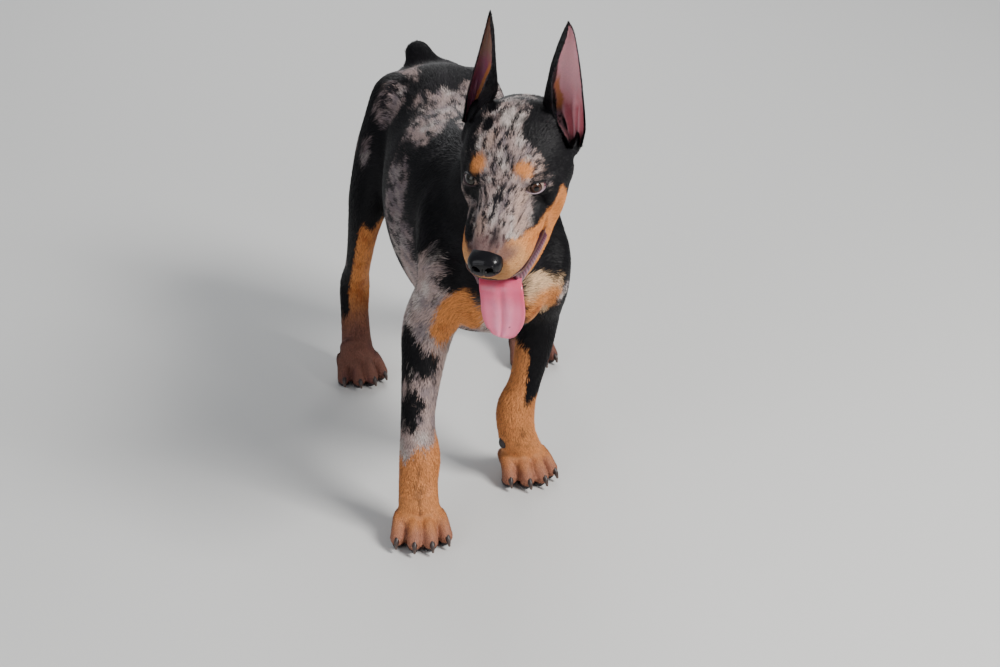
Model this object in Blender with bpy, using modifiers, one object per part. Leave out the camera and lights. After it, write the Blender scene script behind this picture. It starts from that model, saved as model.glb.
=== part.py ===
"""A standing merle Dobermann pinscher puppy with cropped ears and a docked tail, life size.

The flesh is lofted limb by limb, blended by a voxel remesh and then parted by thin cuts into the
pieces that a person would name. Metres, +Z up. The puppy looks along -Y and its left side is on +X.
The origin is on the floor, in the middle of the bounding box.
"""
import math

import bmesh
import bpy
import numpy as np
from mathutils import Matrix, Vector

# Meshing
GAP = 0.0003            # clearance between touching pieces
BODY_VOXEL = 0.0032     # grids of the remeshes that blend the flesh
FINE_VOXEL = 0.0018
BODY_FACES = 4400       # triangles kept in the body, the head and each paw
HEAD_FACES = 3300
PAW_FACES = 480
SLIVER = 0.00006        # edges shorter than this are closed up
SHARP_FROM = math.radians(50)
CRUMB = 30              # vertices of the largest loose piece that is dropped

# Rounds of relaxing, and where they set in: height on the body, distance back on the head
BODY_TURNS, BODY_RAMP = 16, ((0, 0, 1), 0.19, 0.27)
HEAD_TURNS, HEAD_RAMP = 14, (-0.030, 0.020)

# Torso: distance back, height of the back, height of the underside, half width
TORSO = (
    (-0.158, 0.328, 0.214, 0.052),
    (-0.132, 0.368, 0.195, 0.062),
    (-0.090, 0.394, 0.186, 0.070),
    (-0.040, 0.398, 0.183, 0.079),
    (0.020, 0.393, 0.186, 0.086),
    (0.075, 0.391, 0.200, 0.083),
    (0.120, 0.394, 0.223, 0.073),
    (0.165, 0.402, 0.243, 0.065),
    (0.205, 0.404, 0.268, 0.059),
    (0.235, 0.390, 0.308, 0.047),
)
TORSO_SQUARENESS = 2.25

# Neck, limbs and tail: x, y, z of the middle, half width, half depth in front, half depth behind
NECK = (
    (0.0160, -0.196, 0.450, 0.043, 0.040, 0.040),
    (0.0120, -0.168, 0.413, 0.046, 0.046, 0.048),
    (0.0060, -0.134, 0.366, 0.054, 0.061, 0.060),
    (0.0010, -0.104, 0.322, 0.061, 0.085, 0.068),
    (0.0000, -0.078, 0.286, 0.060, 0.092, 0.060),
)
SHOULDER_BLADE = (
    (0.028, -0.056, 0.362, 0.018, 0.024, 0.026),
    (0.044, -0.090, 0.334, 0.028, 0.036, 0.034),
    (0.050, -0.128, 0.298, 0.031, 0.038, 0.036),
)
FORELEG_RIGHT = (
    (-0.047, -0.142, 0.294, 0.030, 0.038, 0.040),
    (-0.053, -0.128, 0.252, 0.029, 0.036, 0.038),
    (-0.0645, -0.114, 0.213, 0.0285, 0.030, 0.033),
    (-0.0745, -0.131, 0.172, 0.0225, 0.0240, 0.0245),
    (-0.0825, -0.150, 0.124, 0.0186, 0.0190, 0.0195),
    (-0.0825, -0.163, 0.088, 0.0222, 0.0205, 0.0212),
    (-0.0855, -0.171, 0.060, 0.0210, 0.0182, 0.0186),
    (-0.0865, -0.180, 0.034, 0.0222, 0.0180, 0.0180),
)
FORELEG_LEFT = (
    (0.050, -0.138, 0.290, 0.031, 0.036, 0.040),
    (0.056, -0.108, 0.250, 0.030, 0.034, 0.038),
    (0.0600, -0.085, 0.212, 0.0240, 0.027, 0.031),
    (0.0560, -0.083, 0.170, 0.0208, 0.0222, 0.0225),
    (0.0475, -0.079, 0.122, 0.0176, 0.0186, 0.0190),
    (0.0385, -0.077, 0.090, 0.0215, 0.0200, 0.0210),
    (0.0405, -0.075, 0.060, 0.0208, 0.0180, 0.0184),
    (0.0480, -0.068, 0.034, 0.0220, 0.0178, 0.0178),
)
HINDLEG_RIGHT = (
    (-0.041, 0.197, 0.349, 0.036, 0.057, 0.045),
    (-0.049, 0.192, 0.320, 0.037, 0.060, 0.053),
    (-0.062, 0.182, 0.288, 0.0355, 0.061, 0.057),
    (-0.0815, 0.168, 0.248, 0.0250, 0.044, 0.046),
    (-0.0890, 0.170, 0.214, 0.0180, 0.030, 0.031),
    (-0.0900, 0.196, 0.168, 0.0152, 0.023, 0.023),
    (-0.0885, 0.228, 0.130, 0.0152, 0.018, 0.021),
    (-0.0885, 0.247, 0.104, 0.0184, 0.018, 0.020),
    (-0.0900, 0.241, 0.074, 0.0172, 0.0155, 0.0160),
    (-0.0905, 0.228, 0.046, 0.0178, 0.0155, 0.0160),
    (-0.0915, 0.212, 0.030, 0.0205, 0.017, 0.017),
)
HINDLEG_LEFT = (
    (0.041, 0.197, 0.349, 0.036, 0.057, 0.045),
    (0.049, 0.193, 0.320, 0.037, 0.060, 0.053),
    (0.062, 0.184, 0.288, 0.0350, 0.061, 0.057),
    (0.082, 0.172, 0.248, 0.0245, 0.044, 0.046),
    (0.0950, 0.176, 0.214, 0.0180, 0.030, 0.031),
    (0.1060, 0.206, 0.168, 0.0152, 0.023, 0.023),
    (0.1120, 0.240, 0.130, 0.0152, 0.018, 0.021),
    (0.1165, 0.260, 0.104, 0.0184, 0.018, 0.020),
    (0.1185, 0.255, 0.074, 0.0172, 0.0155, 0.0160),
    (0.1190, 0.242, 0.046, 0.0178, 0.0155, 0.0160),
    (0.1195, 0.226, 0.030, 0.0205, 0.017, 0.017),
)
TAIL = (
    (-0.003, 0.214, 0.364, 0.022, 0.022, 0.022),
    (-0.008, 0.236, 0.380, 0.0180, 0.0180, 0.0180),
    (-0.011, 0.250, 0.3885, 0.0155, 0.0155, 0.0155),
)

# Paws: middle of the sole, degrees that the toes turn to the puppy's left, size
PAWS = {
    "forepaw_right": ((-0.0865, -0.186), -4.0, 1.0),
    "forepaw_left": ((0.0500, -0.070), 14.0, 1.0),
    "hindpaw_right": ((-0.0915, 0.205), 10.0, 0.94),
    "hindpaw_left": ((0.1200, 0.218), 8.0, 0.92),
}
LEG_OF_PAW = {
    "forepaw_right": FORELEG_RIGHT,
    "forepaw_left": FORELEG_LEFT,
    "hindpaw_right": HINDLEG_RIGHT,
    "hindpaw_left": HINDLEG_LEFT,
}
PAW_TOP = 0.054         # height of the cut between a leg and its paw
# Toes: offset from the middle, how far it stands forward
TOES = ((-0.0212, -0.0050), (-0.0074, 0.0055), (0.0074, 0.0055), (0.0212, -0.0050))
TOE_FAN = 700.0         # degrees of turn for each metre off the middle
# Forward, height, half width, half depth of a toe, its claw, the pads and the pastern
TOE = (
    (-0.012, 0.0240, 0.0076, 0.0076),
    (0.003, 0.0258, 0.0095, 0.0092),
    (0.016, 0.0205, 0.0099, 0.0099),
    (0.0235, 0.0098, 0.0094, 0.0112),
)
CLAW = (
    (0.0260, 0.0150, 0.0042, 0.0046),
    (0.0350, 0.0115, 0.0032, 0.0038),
    (0.0385, 0.0072, 0.0019, 0.0022),
)
PAD = ((-0.020, 0.011, 0.018, 0.0125), (-0.004, 0.0115, 0.0245, 0.0140), (0.010, 0.012, 0.021, 0.0125))
PASTERN = ((-0.014, 0.042, 0.0195, 0.0150), (-0.003, 0.0320, 0.0238, 0.0140), (0.008, 0.0245, 0.0255, 0.0100))

# Head, in its own axes: x to the puppy's left, y backwards, z up, from the middle between the eyes
HEAD_PLACE = Vector((-0.0188, -0.265, 0.4305))
HEAD_TURN, HEAD_NOD, HEAD_ROLL = math.radians(-24.9), math.radians(20.1), math.radians(-1.9)
# Back, top, underside, half width
CRANIUM = (
    (-0.010, 0.0080, -0.0400, 0.0260),
    (0.004, 0.0175, -0.0480, 0.0350),
    (0.022, 0.0262, -0.0530, 0.0445),
    (0.045, 0.0335, -0.0520, 0.0515),
    (0.068, 0.0355, -0.0480, 0.0530),
    (0.090, 0.0325, -0.0400, 0.0480),
    (0.106, 0.0240, -0.0280, 0.0360),
)
BRIDGE = (
    (-0.082, -0.0135, -0.0340, 0.0140),
    (-0.068, -0.0085, -0.0380, 0.0175),
    (-0.048, -0.0035, -0.0400, 0.0200),
    (-0.028, 0.0015, -0.0420, 0.0220),
    (-0.010, 0.0080, -0.0420, 0.0250),
    (0.008, 0.0165, -0.0420, 0.0290),
)
JAW = (
    (-0.077, -0.0500, -0.0640, 0.0110),
    (-0.062, -0.0495, -0.0700, 0.0200),
    (-0.030, -0.0490, -0.0760, 0.0310),
    (0.000, -0.0480, -0.0780, 0.0375),
    (0.035, -0.0440, -0.0760, 0.0415),
)
JAW_HINGE = Vector((0.0, 0.055, -0.040))
JAW_OPEN = math.radians(8.0)
NOSE = (
    (-0.0930, -0.0165, -0.0310, 0.0125),
    (-0.0900, -0.0135, -0.0345, 0.0158),
    (-0.0840, -0.0120, -0.0365, 0.0172),
    (-0.0770, -0.0120, -0.0360, 0.0160),
)
# The same, but as rows of a limb in the head's axes
UPPER_LIPS = (
    (0.0010, -0.0815, -0.0320, 0.0200, 0.0125, 0.0130),
    (0.0015, -0.0700, -0.0310, 0.0270, 0.0160, 0.0150),
    (0.0010, -0.0530, -0.0310, 0.0315, 0.0180, 0.0170),
    (0.0005, -0.0400, -0.0310, 0.0340, 0.0190, 0.0190),
    (0.0000, -0.0280, -0.0310, 0.0355, 0.0200, 0.0210),
    (0.0000, -0.0100, -0.0300, 0.0375, 0.0220, 0.0220),
    (0.0000, 0.0120, -0.0280, 0.0410, 0.0240, 0.0220),
)
MOUTH_CORNER = ((0.0265, 0.006, -0.0540, 0.0115, 0.0140, 0.0150), (0.0290, 0.036, -0.0480, 0.0150, 0.022, 0.020))
MASSETER = (
    (0.0350, 0.052, 0.000, 0.0150, 0.022, 0.022),
    (0.0370, 0.046, -0.026, 0.0155, 0.026, 0.026),
    (0.0345, 0.036, -0.050, 0.0135, 0.024, 0.024),
    (0.0300, 0.026, -0.064, 0.0110, 0.018, 0.018),
)
CHEEK = ((0.0340, 0.012, -0.022, 0.0130, 0.022, 0.024), (0.0395, 0.050, -0.016, 0.0175, 0.030, 0.026))
BROW = ((0.0200, 0.000, 0.0045, 0.0090, 0.0085, 0.0085), (0.0300, 0.014, 0.0045, 0.0090, 0.0090, 0.0090))
EAR_MOUND = ((0.0470, 0.073, -0.008, 0.0140, 0.018, 0.018), (0.0380, 0.081, 0.018, 0.0150, 0.018, 0.018))
THROAT = ((0.0, 0.030, -0.050, 0.034, 0.026, 0.026), (0.0, 0.070, -0.040, 0.040, 0.036, 0.036))
NOSTRIL = ((0.0068, -0.0980, -0.0238, 0.0030, 0.0030, 0.0030), (0.0080, -0.0870, -0.0228, 0.0026, 0.0028, 0.0028))
TONGUE = (
    (0.0000, -0.0100, -0.0550, 0.0180, 0.0030, 0.0030),
    (0.0020, -0.0380, -0.0600, 0.0200, 0.0034, 0.0034),
    (0.0045, -0.0600, -0.0620, 0.0205, 0.0034, 0.0034),
    (0.0075, -0.0755, -0.0640, 0.0205, 0.0032, 0.0032),
    (0.0093, -0.0825, -0.0715, 0.0208, 0.0030, 0.0030),
    (0.0102, -0.0872, -0.0832, 0.0212, 0.0028, 0.0028),
    (0.0100, -0.0912, -0.0952, 0.0200, 0.0026, 0.0026),
    (0.0092, -0.0947, -0.1042, 0.0165, 0.0024, 0.0024),
    (0.0082, -0.0967, -0.1087, 0.0120, 0.0022, 0.0022),
)
NOSE_CUT_BACK, NOSE_CUT_LOW = -0.0800, -0.0372
NOSE_CUT_REACH = (0.03, 0.010, -0.11)       # to the sides, up and forward

EYE_RADIUS = 0.0105
EYE_PLACE = Vector((0.0256, 0.0096, 0.0))
EYE_GAZE = Vector((0.50, -0.86, 0.03)).normalized()
EYE_SLANT = math.radians(8.0)
LID_THICK = 0.0016
LID_OPENING = (0.0092, 0.0050, 0.0042)      # half length, height above and depth below the corner line

# Cropped ear: foot of the inner and outer edge, the tips and the way that each opens, in the head's axes
EAR_INNER = Vector((0.0235, 0.080, 0.0340))
EAR_OUTER = Vector((0.0580, 0.079, -0.0050))
EAR_TIPS = {"left": Vector((0.0530, 0.100, 0.1205)), "right": Vector((-0.0250, 0.096, 0.1310))}
EAR_OPENINGS = {"left": Vector((0.42, -0.90, 0.0)), "right": Vector((-0.74, -0.67, 0.0))}
EAR_WIDTHS = (0.0530, 0.0455, 0.0375, 0.0300, 0.0225, 0.0140, 0.0030)
EAR_ARCS = (150.0, 150.0, 130.0, 105.0, 88.0, 76.0, 66.0)
EAR_THICK = 0.0030
EAR_ROWS, EAR_COLUMNS = 12, 9
EAR_CUT = 0.10          # height of the cut between ear and head, as a part of the ear's length
EAR_SLIT_REACH = 0.040  # how far the cut's plate runs past the ear's foot

# Cuts: planes by a point and a normal, plates by a corner and the two corners beside it
HEAD_CUT = Vector((0.010, -0.163, 0.396))
HEAD_CUT_NORMAL = Vector((0.10, -0.55, 0.83)).normalized()
NECK_SLIT = ((-0.12, -0.045, 0.425), (0.12, -0.045, 0.425), (-0.12, -0.240, 0.262))
TAIL_SLIT = ((-0.05, 0.196, 0.4075), (0.05, 0.196, 0.4075), (-0.05, 0.285, 0.349))
FORELEG_SLIT = ((0.022, -0.210, 0.170), (0.022, -0.035, 0.170), (0.120, -0.210, 0.262))
HINDLEG_SLIT = ((0.004, 0.098, 0.192), (0.004, 0.290, 0.294), (0.120, 0.098, 0.232))
JAW_SLIT = ((-0.08, -0.034, -0.0568), (0.08, -0.034, -0.0568), (-0.08, 0.120, -0.0770))
BODY_NODES = {
    "torso": (0.0, 0.03, 0.30),
    "neck": (0.005, -0.14, 0.37),
    "tail": (-0.010, 0.24, 0.39),
    "foreleg_right": (-0.075, -0.14, 0.14),
    "foreleg_left": (0.055, -0.09, 0.14),
    "hindleg_right": (-0.080, 0.20, 0.17),
    "hindleg_left": (0.095, 0.21, 0.17),
}


def clear_scene():
    for thing in list(bpy.data.objects):
        bpy.data.objects.remove(thing, do_unlink=True)


def added(name, mesh):
    thing = bpy.data.objects.new(name, mesh)
    bpy.context.scene.collection.objects.link(thing)
    return thing


def smooth_rows(knots, count):
    """The knots' rows, read at count places along a smooth curve through all of them."""
    rows = np.asarray(knots, float)
    padded = np.vstack([2 * rows[0] - rows[1], rows, 2 * rows[-1] - rows[-2]])
    place = np.linspace(0, len(rows) - 1, count)
    first = np.minimum(place.astype(int), len(rows) - 2)
    t = (place - first)[:, None]
    before, start, end, after = (padded[first + k] for k in range(4))
    return 0.5 * (
        2 * start
        + (end - before) * t
        + (2 * before - 5 * start + 4 * end - after) * t**2
        + (3 * start - before - 3 * end + after) * t**3
    )


def with_round_ends(rows, round_by, caps):
    """Adds shrinking rings past both ends, a quarter of an ellipse each, round_by times the end's size long."""
    ends = []
    for row, inner in ((rows[0], rows[1]), (rows[-1], rows[-2])):
        away = row[:3] - inner[:3]
        away = away / np.linalg.norm(away)
        reach = round_by * min(row[3], 0.5 * (row[4] + row[5]))
        cap = []
        for k in range(1, caps + 1):
            angle = 0.5 * math.pi * k / (caps + 0.35)
            ring = row.copy()
            ring[:3] += away * reach * math.sin(angle)
            ring[3:] *= math.cos(angle)
            cap.append(ring)
        ends.append(cap)
    return np.vstack([ends[0][::-1], rows, ends[1]])


def tube_points(rows, side_hint, sides, squareness):
    """One superellipse ring for each row (x, y, z, half width, half depth in front, half depth behind)."""
    middle = rows[:, :3]
    along = np.gradient(middle, axis=0)
    along /= np.linalg.norm(along, axis=1)[:, None]
    hint = np.asarray(side_hint, float)
    side = hint - along * (along @ hint)[:, None]
    side /= np.linalg.norm(side, axis=1)[:, None]
    front = np.cross(along, side)
    turn = np.linspace(0, 2 * math.pi, sides, endpoint=False)
    power = 2.0 / squareness
    across = np.sign(np.cos(turn)) * np.abs(np.cos(turn)) ** power
    ahead = np.sign(np.sin(turn)) * np.abs(np.sin(turn)) ** power
    depth = np.where(ahead > 0, rows[:, 4:5], rows[:, 5:6])
    return (
        middle[:, None]
        + side[:, None] * (rows[:, 3:4] * across)[..., None]
        + front[:, None] * (depth * ahead)[..., None]
    )


def outward(mesh):
    shape = bmesh.new()
    shape.from_mesh(mesh)
    bmesh.ops.recalc_face_normals(shape, faces=shape.faces)
    shape.to_mesh(mesh)
    shape.free()
    return mesh


def closed_mesh(name, grid):
    """A mesh with the grid's rings as its wall and a fan at each end, facing outwards."""
    rings, sides = grid.shape[:2]
    mesh = bpy.data.meshes.new(name)
    points = np.vstack([grid.reshape(-1, 3), grid[0].mean(axis=0), grid[-1].mean(axis=0)])
    ring, step = np.meshgrid(np.arange(rings - 1), np.arange(sides), indexing="ij")
    beside = (step + 1) % sides
    near, far = ring * sides, (ring + 1) * sides
    wall = np.stack([near + step, near + beside, far + beside, far + step], -1).reshape(-1, 4)
    start, last = rings * sides, (rings - 1) * sides
    fans = [(start, (k + 1) % sides, k) for k in range(sides)]
    fans += [(start + 1, last + k, last + (k + 1) % sides) for k in range(sides)]
    mesh.from_pydata(points.tolist(), [], wall.tolist() + fans)
    return outward(mesh)


def tube(name, knots, rings=18, sides=20, squareness=2.0, round_by=1.0, caps=4, place=None):
    """One closed limb or mass through the knots, in the world or in the axes that place gives."""
    rows = with_round_ends(smooth_rows(knots, rings), round_by, caps)
    mesh = closed_mesh(name, tube_points(rows, (1, 0, 0), sides, squareness))
    if place is not None:
        mesh.transform(place)
    return added(name, mesh)


def ball(name, middle, radius, place):
    """A closed globe, fine enough for an eye."""
    shape = bmesh.new()
    bmesh.ops.create_icosphere(shape, subdivisions=2, radius=radius, matrix=place @ Matrix.Translation(middle))
    mesh = bpy.data.meshes.new(name)
    shape.to_mesh(mesh)
    shape.free()
    return added(name, mesh)


def lengthwise(profile):
    """Limb rows of a mass given by (back, top, underside, half width)."""
    return [(0.0, y, 0.5 * (top + low), half, 0.5 * (top - low), 0.5 * (top - low)) for y, top, low, half in profile]


def paw_rows(profile):
    """Limb rows of a toe or pad given by (forward, height, half width, half depth)."""
    return [(0.0, -forward, height, half, depth, depth) for forward, height, half, depth in profile]


def mirrored(knots):
    return [(-row[0], *row[1:]) for row in knots]


def head_matrix():
    turn = Matrix.Rotation(HEAD_TURN, 4, "Z") @ Matrix.Rotation(HEAD_NOD, 4, "X")
    return Matrix.Translation(HEAD_PLACE) @ turn @ Matrix.Rotation(HEAD_ROLL, 4, "Y")


def jaw_matrix():
    opening = Matrix.Rotation(JAW_OPEN, 4, "X")
    return head_matrix() @ Matrix.Translation(JAW_HINGE) @ opening @ Matrix.Translation(-JAW_HINGE)


def joined(name, pieces):
    """All the pieces' faces in one mesh object."""
    shape = bmesh.new()
    for piece in pieces:
        shape.from_mesh(piece.data)
        bpy.data.objects.remove(piece, do_unlink=True)
    mesh = bpy.data.meshes.new(name)
    shape.to_mesh(mesh)
    shape.free()
    return added(name, mesh)


def applied(thing):
    """Replaces the object's mesh with what its modifiers make of it."""
    graph = bpy.context.evaluated_depsgraph_get()
    mesh = bpy.data.meshes.new_from_object(thing.evaluated_get(graph))
    thing.modifiers.clear()
    thing.data = mesh
    return thing


def softened(thing, turns, ramp=None):
    """Relaxes the surface, only past the ramp where one is given: a direction, where it starts and where it ends."""
    relax = thing.modifiers.new("relax", "SMOOTH")
    relax.factor = 0.5
    relax.iterations = turns
    if ramp:
        direction, start, end = ramp
        group = thing.vertex_groups.new(name="relaxed")
        points = np.array([vertex.co[:] for vertex in thing.data.vertices])
        shares = np.clip((points @ np.asarray(direction) - start) / (end - start), 0, 1)
        for index, share in enumerate(shares):
            group.add([index], float(share), "REPLACE")
        relax.vertex_group = group.name
    applied(thing)
    thing.vertex_groups.clear()


def blended(thing, voxel, faces, turns, ramp=None, ramp_turns=0):
    """One skin over all of the object's masses, relaxed and thinned to about the given count of triangles."""
    remesh = thing.modifiers.new("blend", "REMESH")
    remesh.mode = "VOXEL"
    remesh.voxel_size = voxel
    applied(thing)
    softened(thing, turns)
    if ramp:
        softened(thing, ramp_turns, ramp)
    thin = thing.modifiers.new("thin", "DECIMATE")
    thin.ratio = faces / (2.0 * len(thing.data.polygons))
    thin.use_collapse_triangulate = True
    return applied(thing)


def halved(thing, point, normal):
    """Keeps what lies on the normal's side of the plane, half a gap away from it, and closes the cut."""
    normal = Vector(normal).normalized()
    shape = bmesh.new()
    shape.from_mesh(thing.data)
    everything = shape.verts[:] + shape.edges[:] + shape.faces[:]
    bmesh.ops.bisect_plane(
        shape,
        geom=everything,
        dist=1e-7,
        plane_co=Vector(point) + normal * 0.5 * GAP,
        plane_no=normal,
        clear_inner=True,
    )
    rim = [edge for edge in shape.edges if edge.is_boundary]
    caps = bmesh.ops.holes_fill(shape, edges=rim, sides=0)["faces"]
    bmesh.ops.triangulate(shape, faces=caps)
    bmesh.ops.recalc_face_normals(shape, faces=shape.faces)
    shape.to_mesh(thing.data)
    shape.free()
    return thing


def slit(name, corners, place=None):
    """A plate one gap thick, from its first corner to the two beside it."""
    first, beside, behind = (Vector(corner) for corner in corners)
    across, along = beside - first, behind - first
    box = Matrix((across, along, across.cross(along).normalized() * GAP)).transposed().to_4x4()
    box.translation = first + 0.5 * (across + along)
    shape = bmesh.new()
    bmesh.ops.create_cube(shape, size=1.0, matrix=box if place is None else place @ box)
    mesh = bpy.data.meshes.new(name)
    shape.to_mesh(mesh)
    shape.free()
    return added(name, mesh)


def combined(thing, other, operation, solver="EXACT"):
    """The thing with the other one added to it or cut away from it."""
    change = thing.modifiers.new("change", "BOOLEAN")
    change.operation = operation
    change.solver = solver
    change.object = other
    applied(thing)
    bpy.data.objects.remove(other, do_unlink=True)
    return thing


def islands(mesh):
    """The mesh's loose pieces as vertex index lists."""
    shape = bmesh.new()
    shape.from_mesh(mesh)
    seen, groups = set(), []
    for start in shape.verts:
        if start.index in seen:
            continue
        seen.add(start.index)
        stack, group = [start], []
        while stack:
            here = stack.pop()
            group.append(here.index)
            for edge in here.link_edges:
                there = edge.other_vert(here)
                if there.index not in seen:
                    seen.add(there.index)
                    stack.append(there)
        groups.append(group)
    shape.free()
    return groups


def parted(thing, places):
    """Makes an object of each large loose piece of the thing that is nearest to a name's place."""
    points = np.array([vertex.co[:] for vertex in thing.data.vertices])
    groups = [group for group in islands(thing.data) if len(group) > CRUMB]
    whole = thing.data
    bpy.data.objects.remove(thing, do_unlink=True)
    for name, place in places.items():
        offsets = [np.linalg.norm(points[group].mean(axis=0) - np.asarray(place)) for group in groups]
        keep = set(groups.pop(int(np.argmin(offsets))))
        shape = bmesh.new()
        shape.from_mesh(whole)
        spare = [vertex for vertex in shape.verts if vertex.index not in keep]
        bmesh.ops.delete(shape, geom=spare, context="VERTS")
        bmesh.ops.dissolve_degenerate(shape, dist=SLIVER, edges=shape.edges)
        bmesh.ops.triangulate(shape, faces=shape.faces)
        mesh = bpy.data.meshes.new(name)
        shape.to_mesh(mesh)
        shape.free()
        added(name, mesh)


def make_body():
    """Torso, neck, tail and the four legs down to the paws."""
    pieces = [
        tube("torso", lengthwise(TORSO), rings=34, sides=28, squareness=TORSO_SQUARENESS, round_by=0.7),
        tube("neck", NECK, rings=18, sides=24),
        tube("tail", TAIL, rings=8, sides=16),
        tube("shoulder_left", SHOULDER_BLADE),
        tube("shoulder_right", mirrored(SHOULDER_BLADE)),
    ]
    for leg in LEG_OF_PAW.values():
        pieces.append(tube("leg", leg, rings=30, sides=18))
    body = blended(joined("body", pieces), BODY_VOXEL, BODY_FACES, 4, BODY_RAMP, BODY_TURNS)
    halved(body, HEAD_CUT, -HEAD_CUT_NORMAL)
    halved(body, (0, 0, PAW_TOP), (0, 0, 1))
    cuts = [slit("neck_slit", NECK_SLIT), slit("tail_slit", TAIL_SLIT)]
    for leg in (FORELEG_SLIT, HINDLEG_SLIT):
        cuts.append(slit("leg_slit", leg))
        cuts.append(slit("leg_slit", mirrored(leg)))
    combined(body, joined("slits", cuts), "DIFFERENCE")
    parted(body, BODY_NODES)


def make_paw(name):
    (x, y), heading, size = PAWS[name]
    turned = Matrix.Translation((x, y, 0)) @ Matrix.Rotation(math.radians(heading), 4, "Z")
    place = turned @ Matrix.Scale(size, 4)
    pieces = [
        tube("pad", paw_rows(PAD), rings=8, place=place),
        tube("pastern", paw_rows(PASTERN), rings=8, squareness=2.3, round_by=0.6, place=place),
        tube("shank", LEG_OF_PAW[name][-4:], rings=14, sides=18),
    ]
    claws = []
    for offset, ahead in TOES:
        here = place @ Matrix.Translation((offset, -ahead, 0)) @ Matrix.Rotation(math.radians(TOE_FAN * offset), 4, "Z")
        pieces.append(tube("toe", paw_rows(TOE), rings=10, sides=14, place=here))
        claws.append(tube("claw", paw_rows(CLAW), rings=4, sides=6, caps=2, place=here))
    paw = blended(joined(name, pieces), FINE_VOXEL, PAW_FACES, 2)
    for claw in claws:
        combined(paw, claw, "UNION")
    halved(paw, (0, 0, PAW_TOP), (0, 0, -1))
    halved(paw, (0, 0, -0.5 * GAP), (0, 0, 1))
    parted(paw, {name: (x, y, 0.02)})


def ear_frame(side):
    """Foot of the inner edge, foot of the outer edge and tip of an ear, in the head's axes."""
    flip = Vector((1 if side == "left" else -1, 1, 1))
    return EAR_INNER * flip, EAR_OUTER * flip, EAR_TIPS[side]


def ear_grid(side):
    """Points of the leaf, foot to tip and inner to outer edge: each row an arc that is open to the front."""
    inner, outer, tip = ear_frame(side)
    foot = 0.5 * (inner + outer)
    up = (tip - foot).normalized()
    opening = EAR_OPENINGS[side] - up * EAR_OPENINGS[side].dot(up)
    opening.normalize()
    level = up.cross(opening)
    if level.dot(outer - inner) < 0:
        level.negate()
    slanted = (outer - inner).normalized()
    rows = smooth_rows(list(zip(EAR_WIDTHS, EAR_ARCS)), EAR_ROWS)
    grid = []
    for k, (width, arc) in enumerate(rows):
        height = k / (EAR_ROWS - 1)
        across = slanted.lerp(level, min(1.0, 2.2 * height)).normalized()
        half_arc = 0.5 * math.radians(arc)
        radius = 0.5 * width / math.sin(min(half_arc, 0.5 * math.pi))
        middle = foot.lerp(tip, height)
        for angle in np.linspace(-half_arc, half_arc, EAR_COLUMNS):
            deep = radius * (math.cos(angle) - math.cos(half_arc))
            grid.append(middle + across * radius * math.sin(angle) - opening * deep)
    return np.array([point[:] for point in grid]).reshape(EAR_ROWS, EAR_COLUMNS, 3)


def ear_shell(side):
    """The ear as a closed wall, its foot sunk in the head."""
    grid = ear_grid(side)
    rows, columns = grid.shape[:2]
    corners = [r * columns + c for r in range(rows - 1) for c in range(columns - 1)]
    mesh = bpy.data.meshes.new("ear")
    faces = [(k, k + 1, k + columns + 1, k + columns) for k in corners]
    mesh.from_pydata(grid.reshape(-1, 3).tolist(), [], faces)
    mesh.transform(head_matrix())
    ear = added("ear", mesh)
    wall = ear.modifiers.new("wall", "SOLIDIFY")
    wall.thickness = EAR_THICK
    wall.offset = 0
    applied(ear)
    outward(ear.data)
    return ear


def ear_slit(side):
    """A plate across the ear's foot, parallel to the line between the feet of its edges."""
    inner, outer, tip = ear_frame(side)
    foot = 0.5 * (inner + outer)
    along = (outer - inner).normalized()
    deep = along.cross(tip - foot).normalized()
    middle = foot + (tip - foot) * EAR_CUT
    corners = [middle + (along * a + deep * d) * EAR_SLIT_REACH for a, d in ((-1, -1), (1, -1), (-1, 1))]
    return slit("ear_slit", corners, head_matrix())


def eye_axes(sign):
    """The eye's place, its gaze, the line through its corners and the way up across it."""
    flip = Vector((sign, 1, 1))
    gaze = EYE_GAZE * flip
    level = Vector((0, 0, 1)).cross(gaze).normalized() * -sign
    raised = gaze.cross(level).normalized()
    if raised.z < 0:
        raised.negate()
    corner_line = level * math.cos(EYE_SLANT) + raised * math.sin(EYE_SLANT)
    upward = raised * math.cos(EYE_SLANT) - level * math.sin(EYE_SLANT)
    return EYE_PLACE * flip, gaze, corner_line, upward


def lid_opening(sign):
    """An almond-shaped cutter that runs out along the gaze from just ahead of the eye's middle."""
    middle, gaze, corner_line, upward = eye_axes(sign)
    half, above, below = LID_OPENING
    rings = []
    for ahead in (0.25 * EYE_RADIUS, 2.0 * EYE_RADIUS):
        for turn in np.linspace(0, 2 * math.pi, 24, endpoint=False):
            rise = math.sin(turn) * (above if turn < math.pi else below)
            rings.append(middle + gaze * ahead + corner_line * half * math.cos(turn) + upward * rise)
    grid = np.array([point[:] for point in rings]).reshape(2, 24, 3)
    mesh = closed_mesh("opening", grid)
    mesh.transform(head_matrix())
    return added("opening", mesh)


def cut_nose_and_jaw():
    """The plates that part the nose leather and the lower jaw from the head."""
    wide, high, ahead = NOSE_CUT_REACH
    low, back = NOSE_CUT_LOW - GAP, NOSE_CUT_BACK + GAP
    behind = [(x, NOSE_CUT_BACK, z) for x, z in ((-wide, low), (wide, low), (-wide, high))]
    under = [(x, y, NOSE_CUT_LOW) for x, y in ((-wide, back), (wide, back), (-wide, ahead))]
    return [slit("nose_slit", behind, head_matrix()), slit("nose_slit", under, head_matrix()),
            slit("jaw_slit", JAW_SLIT, head_matrix())]


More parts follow.
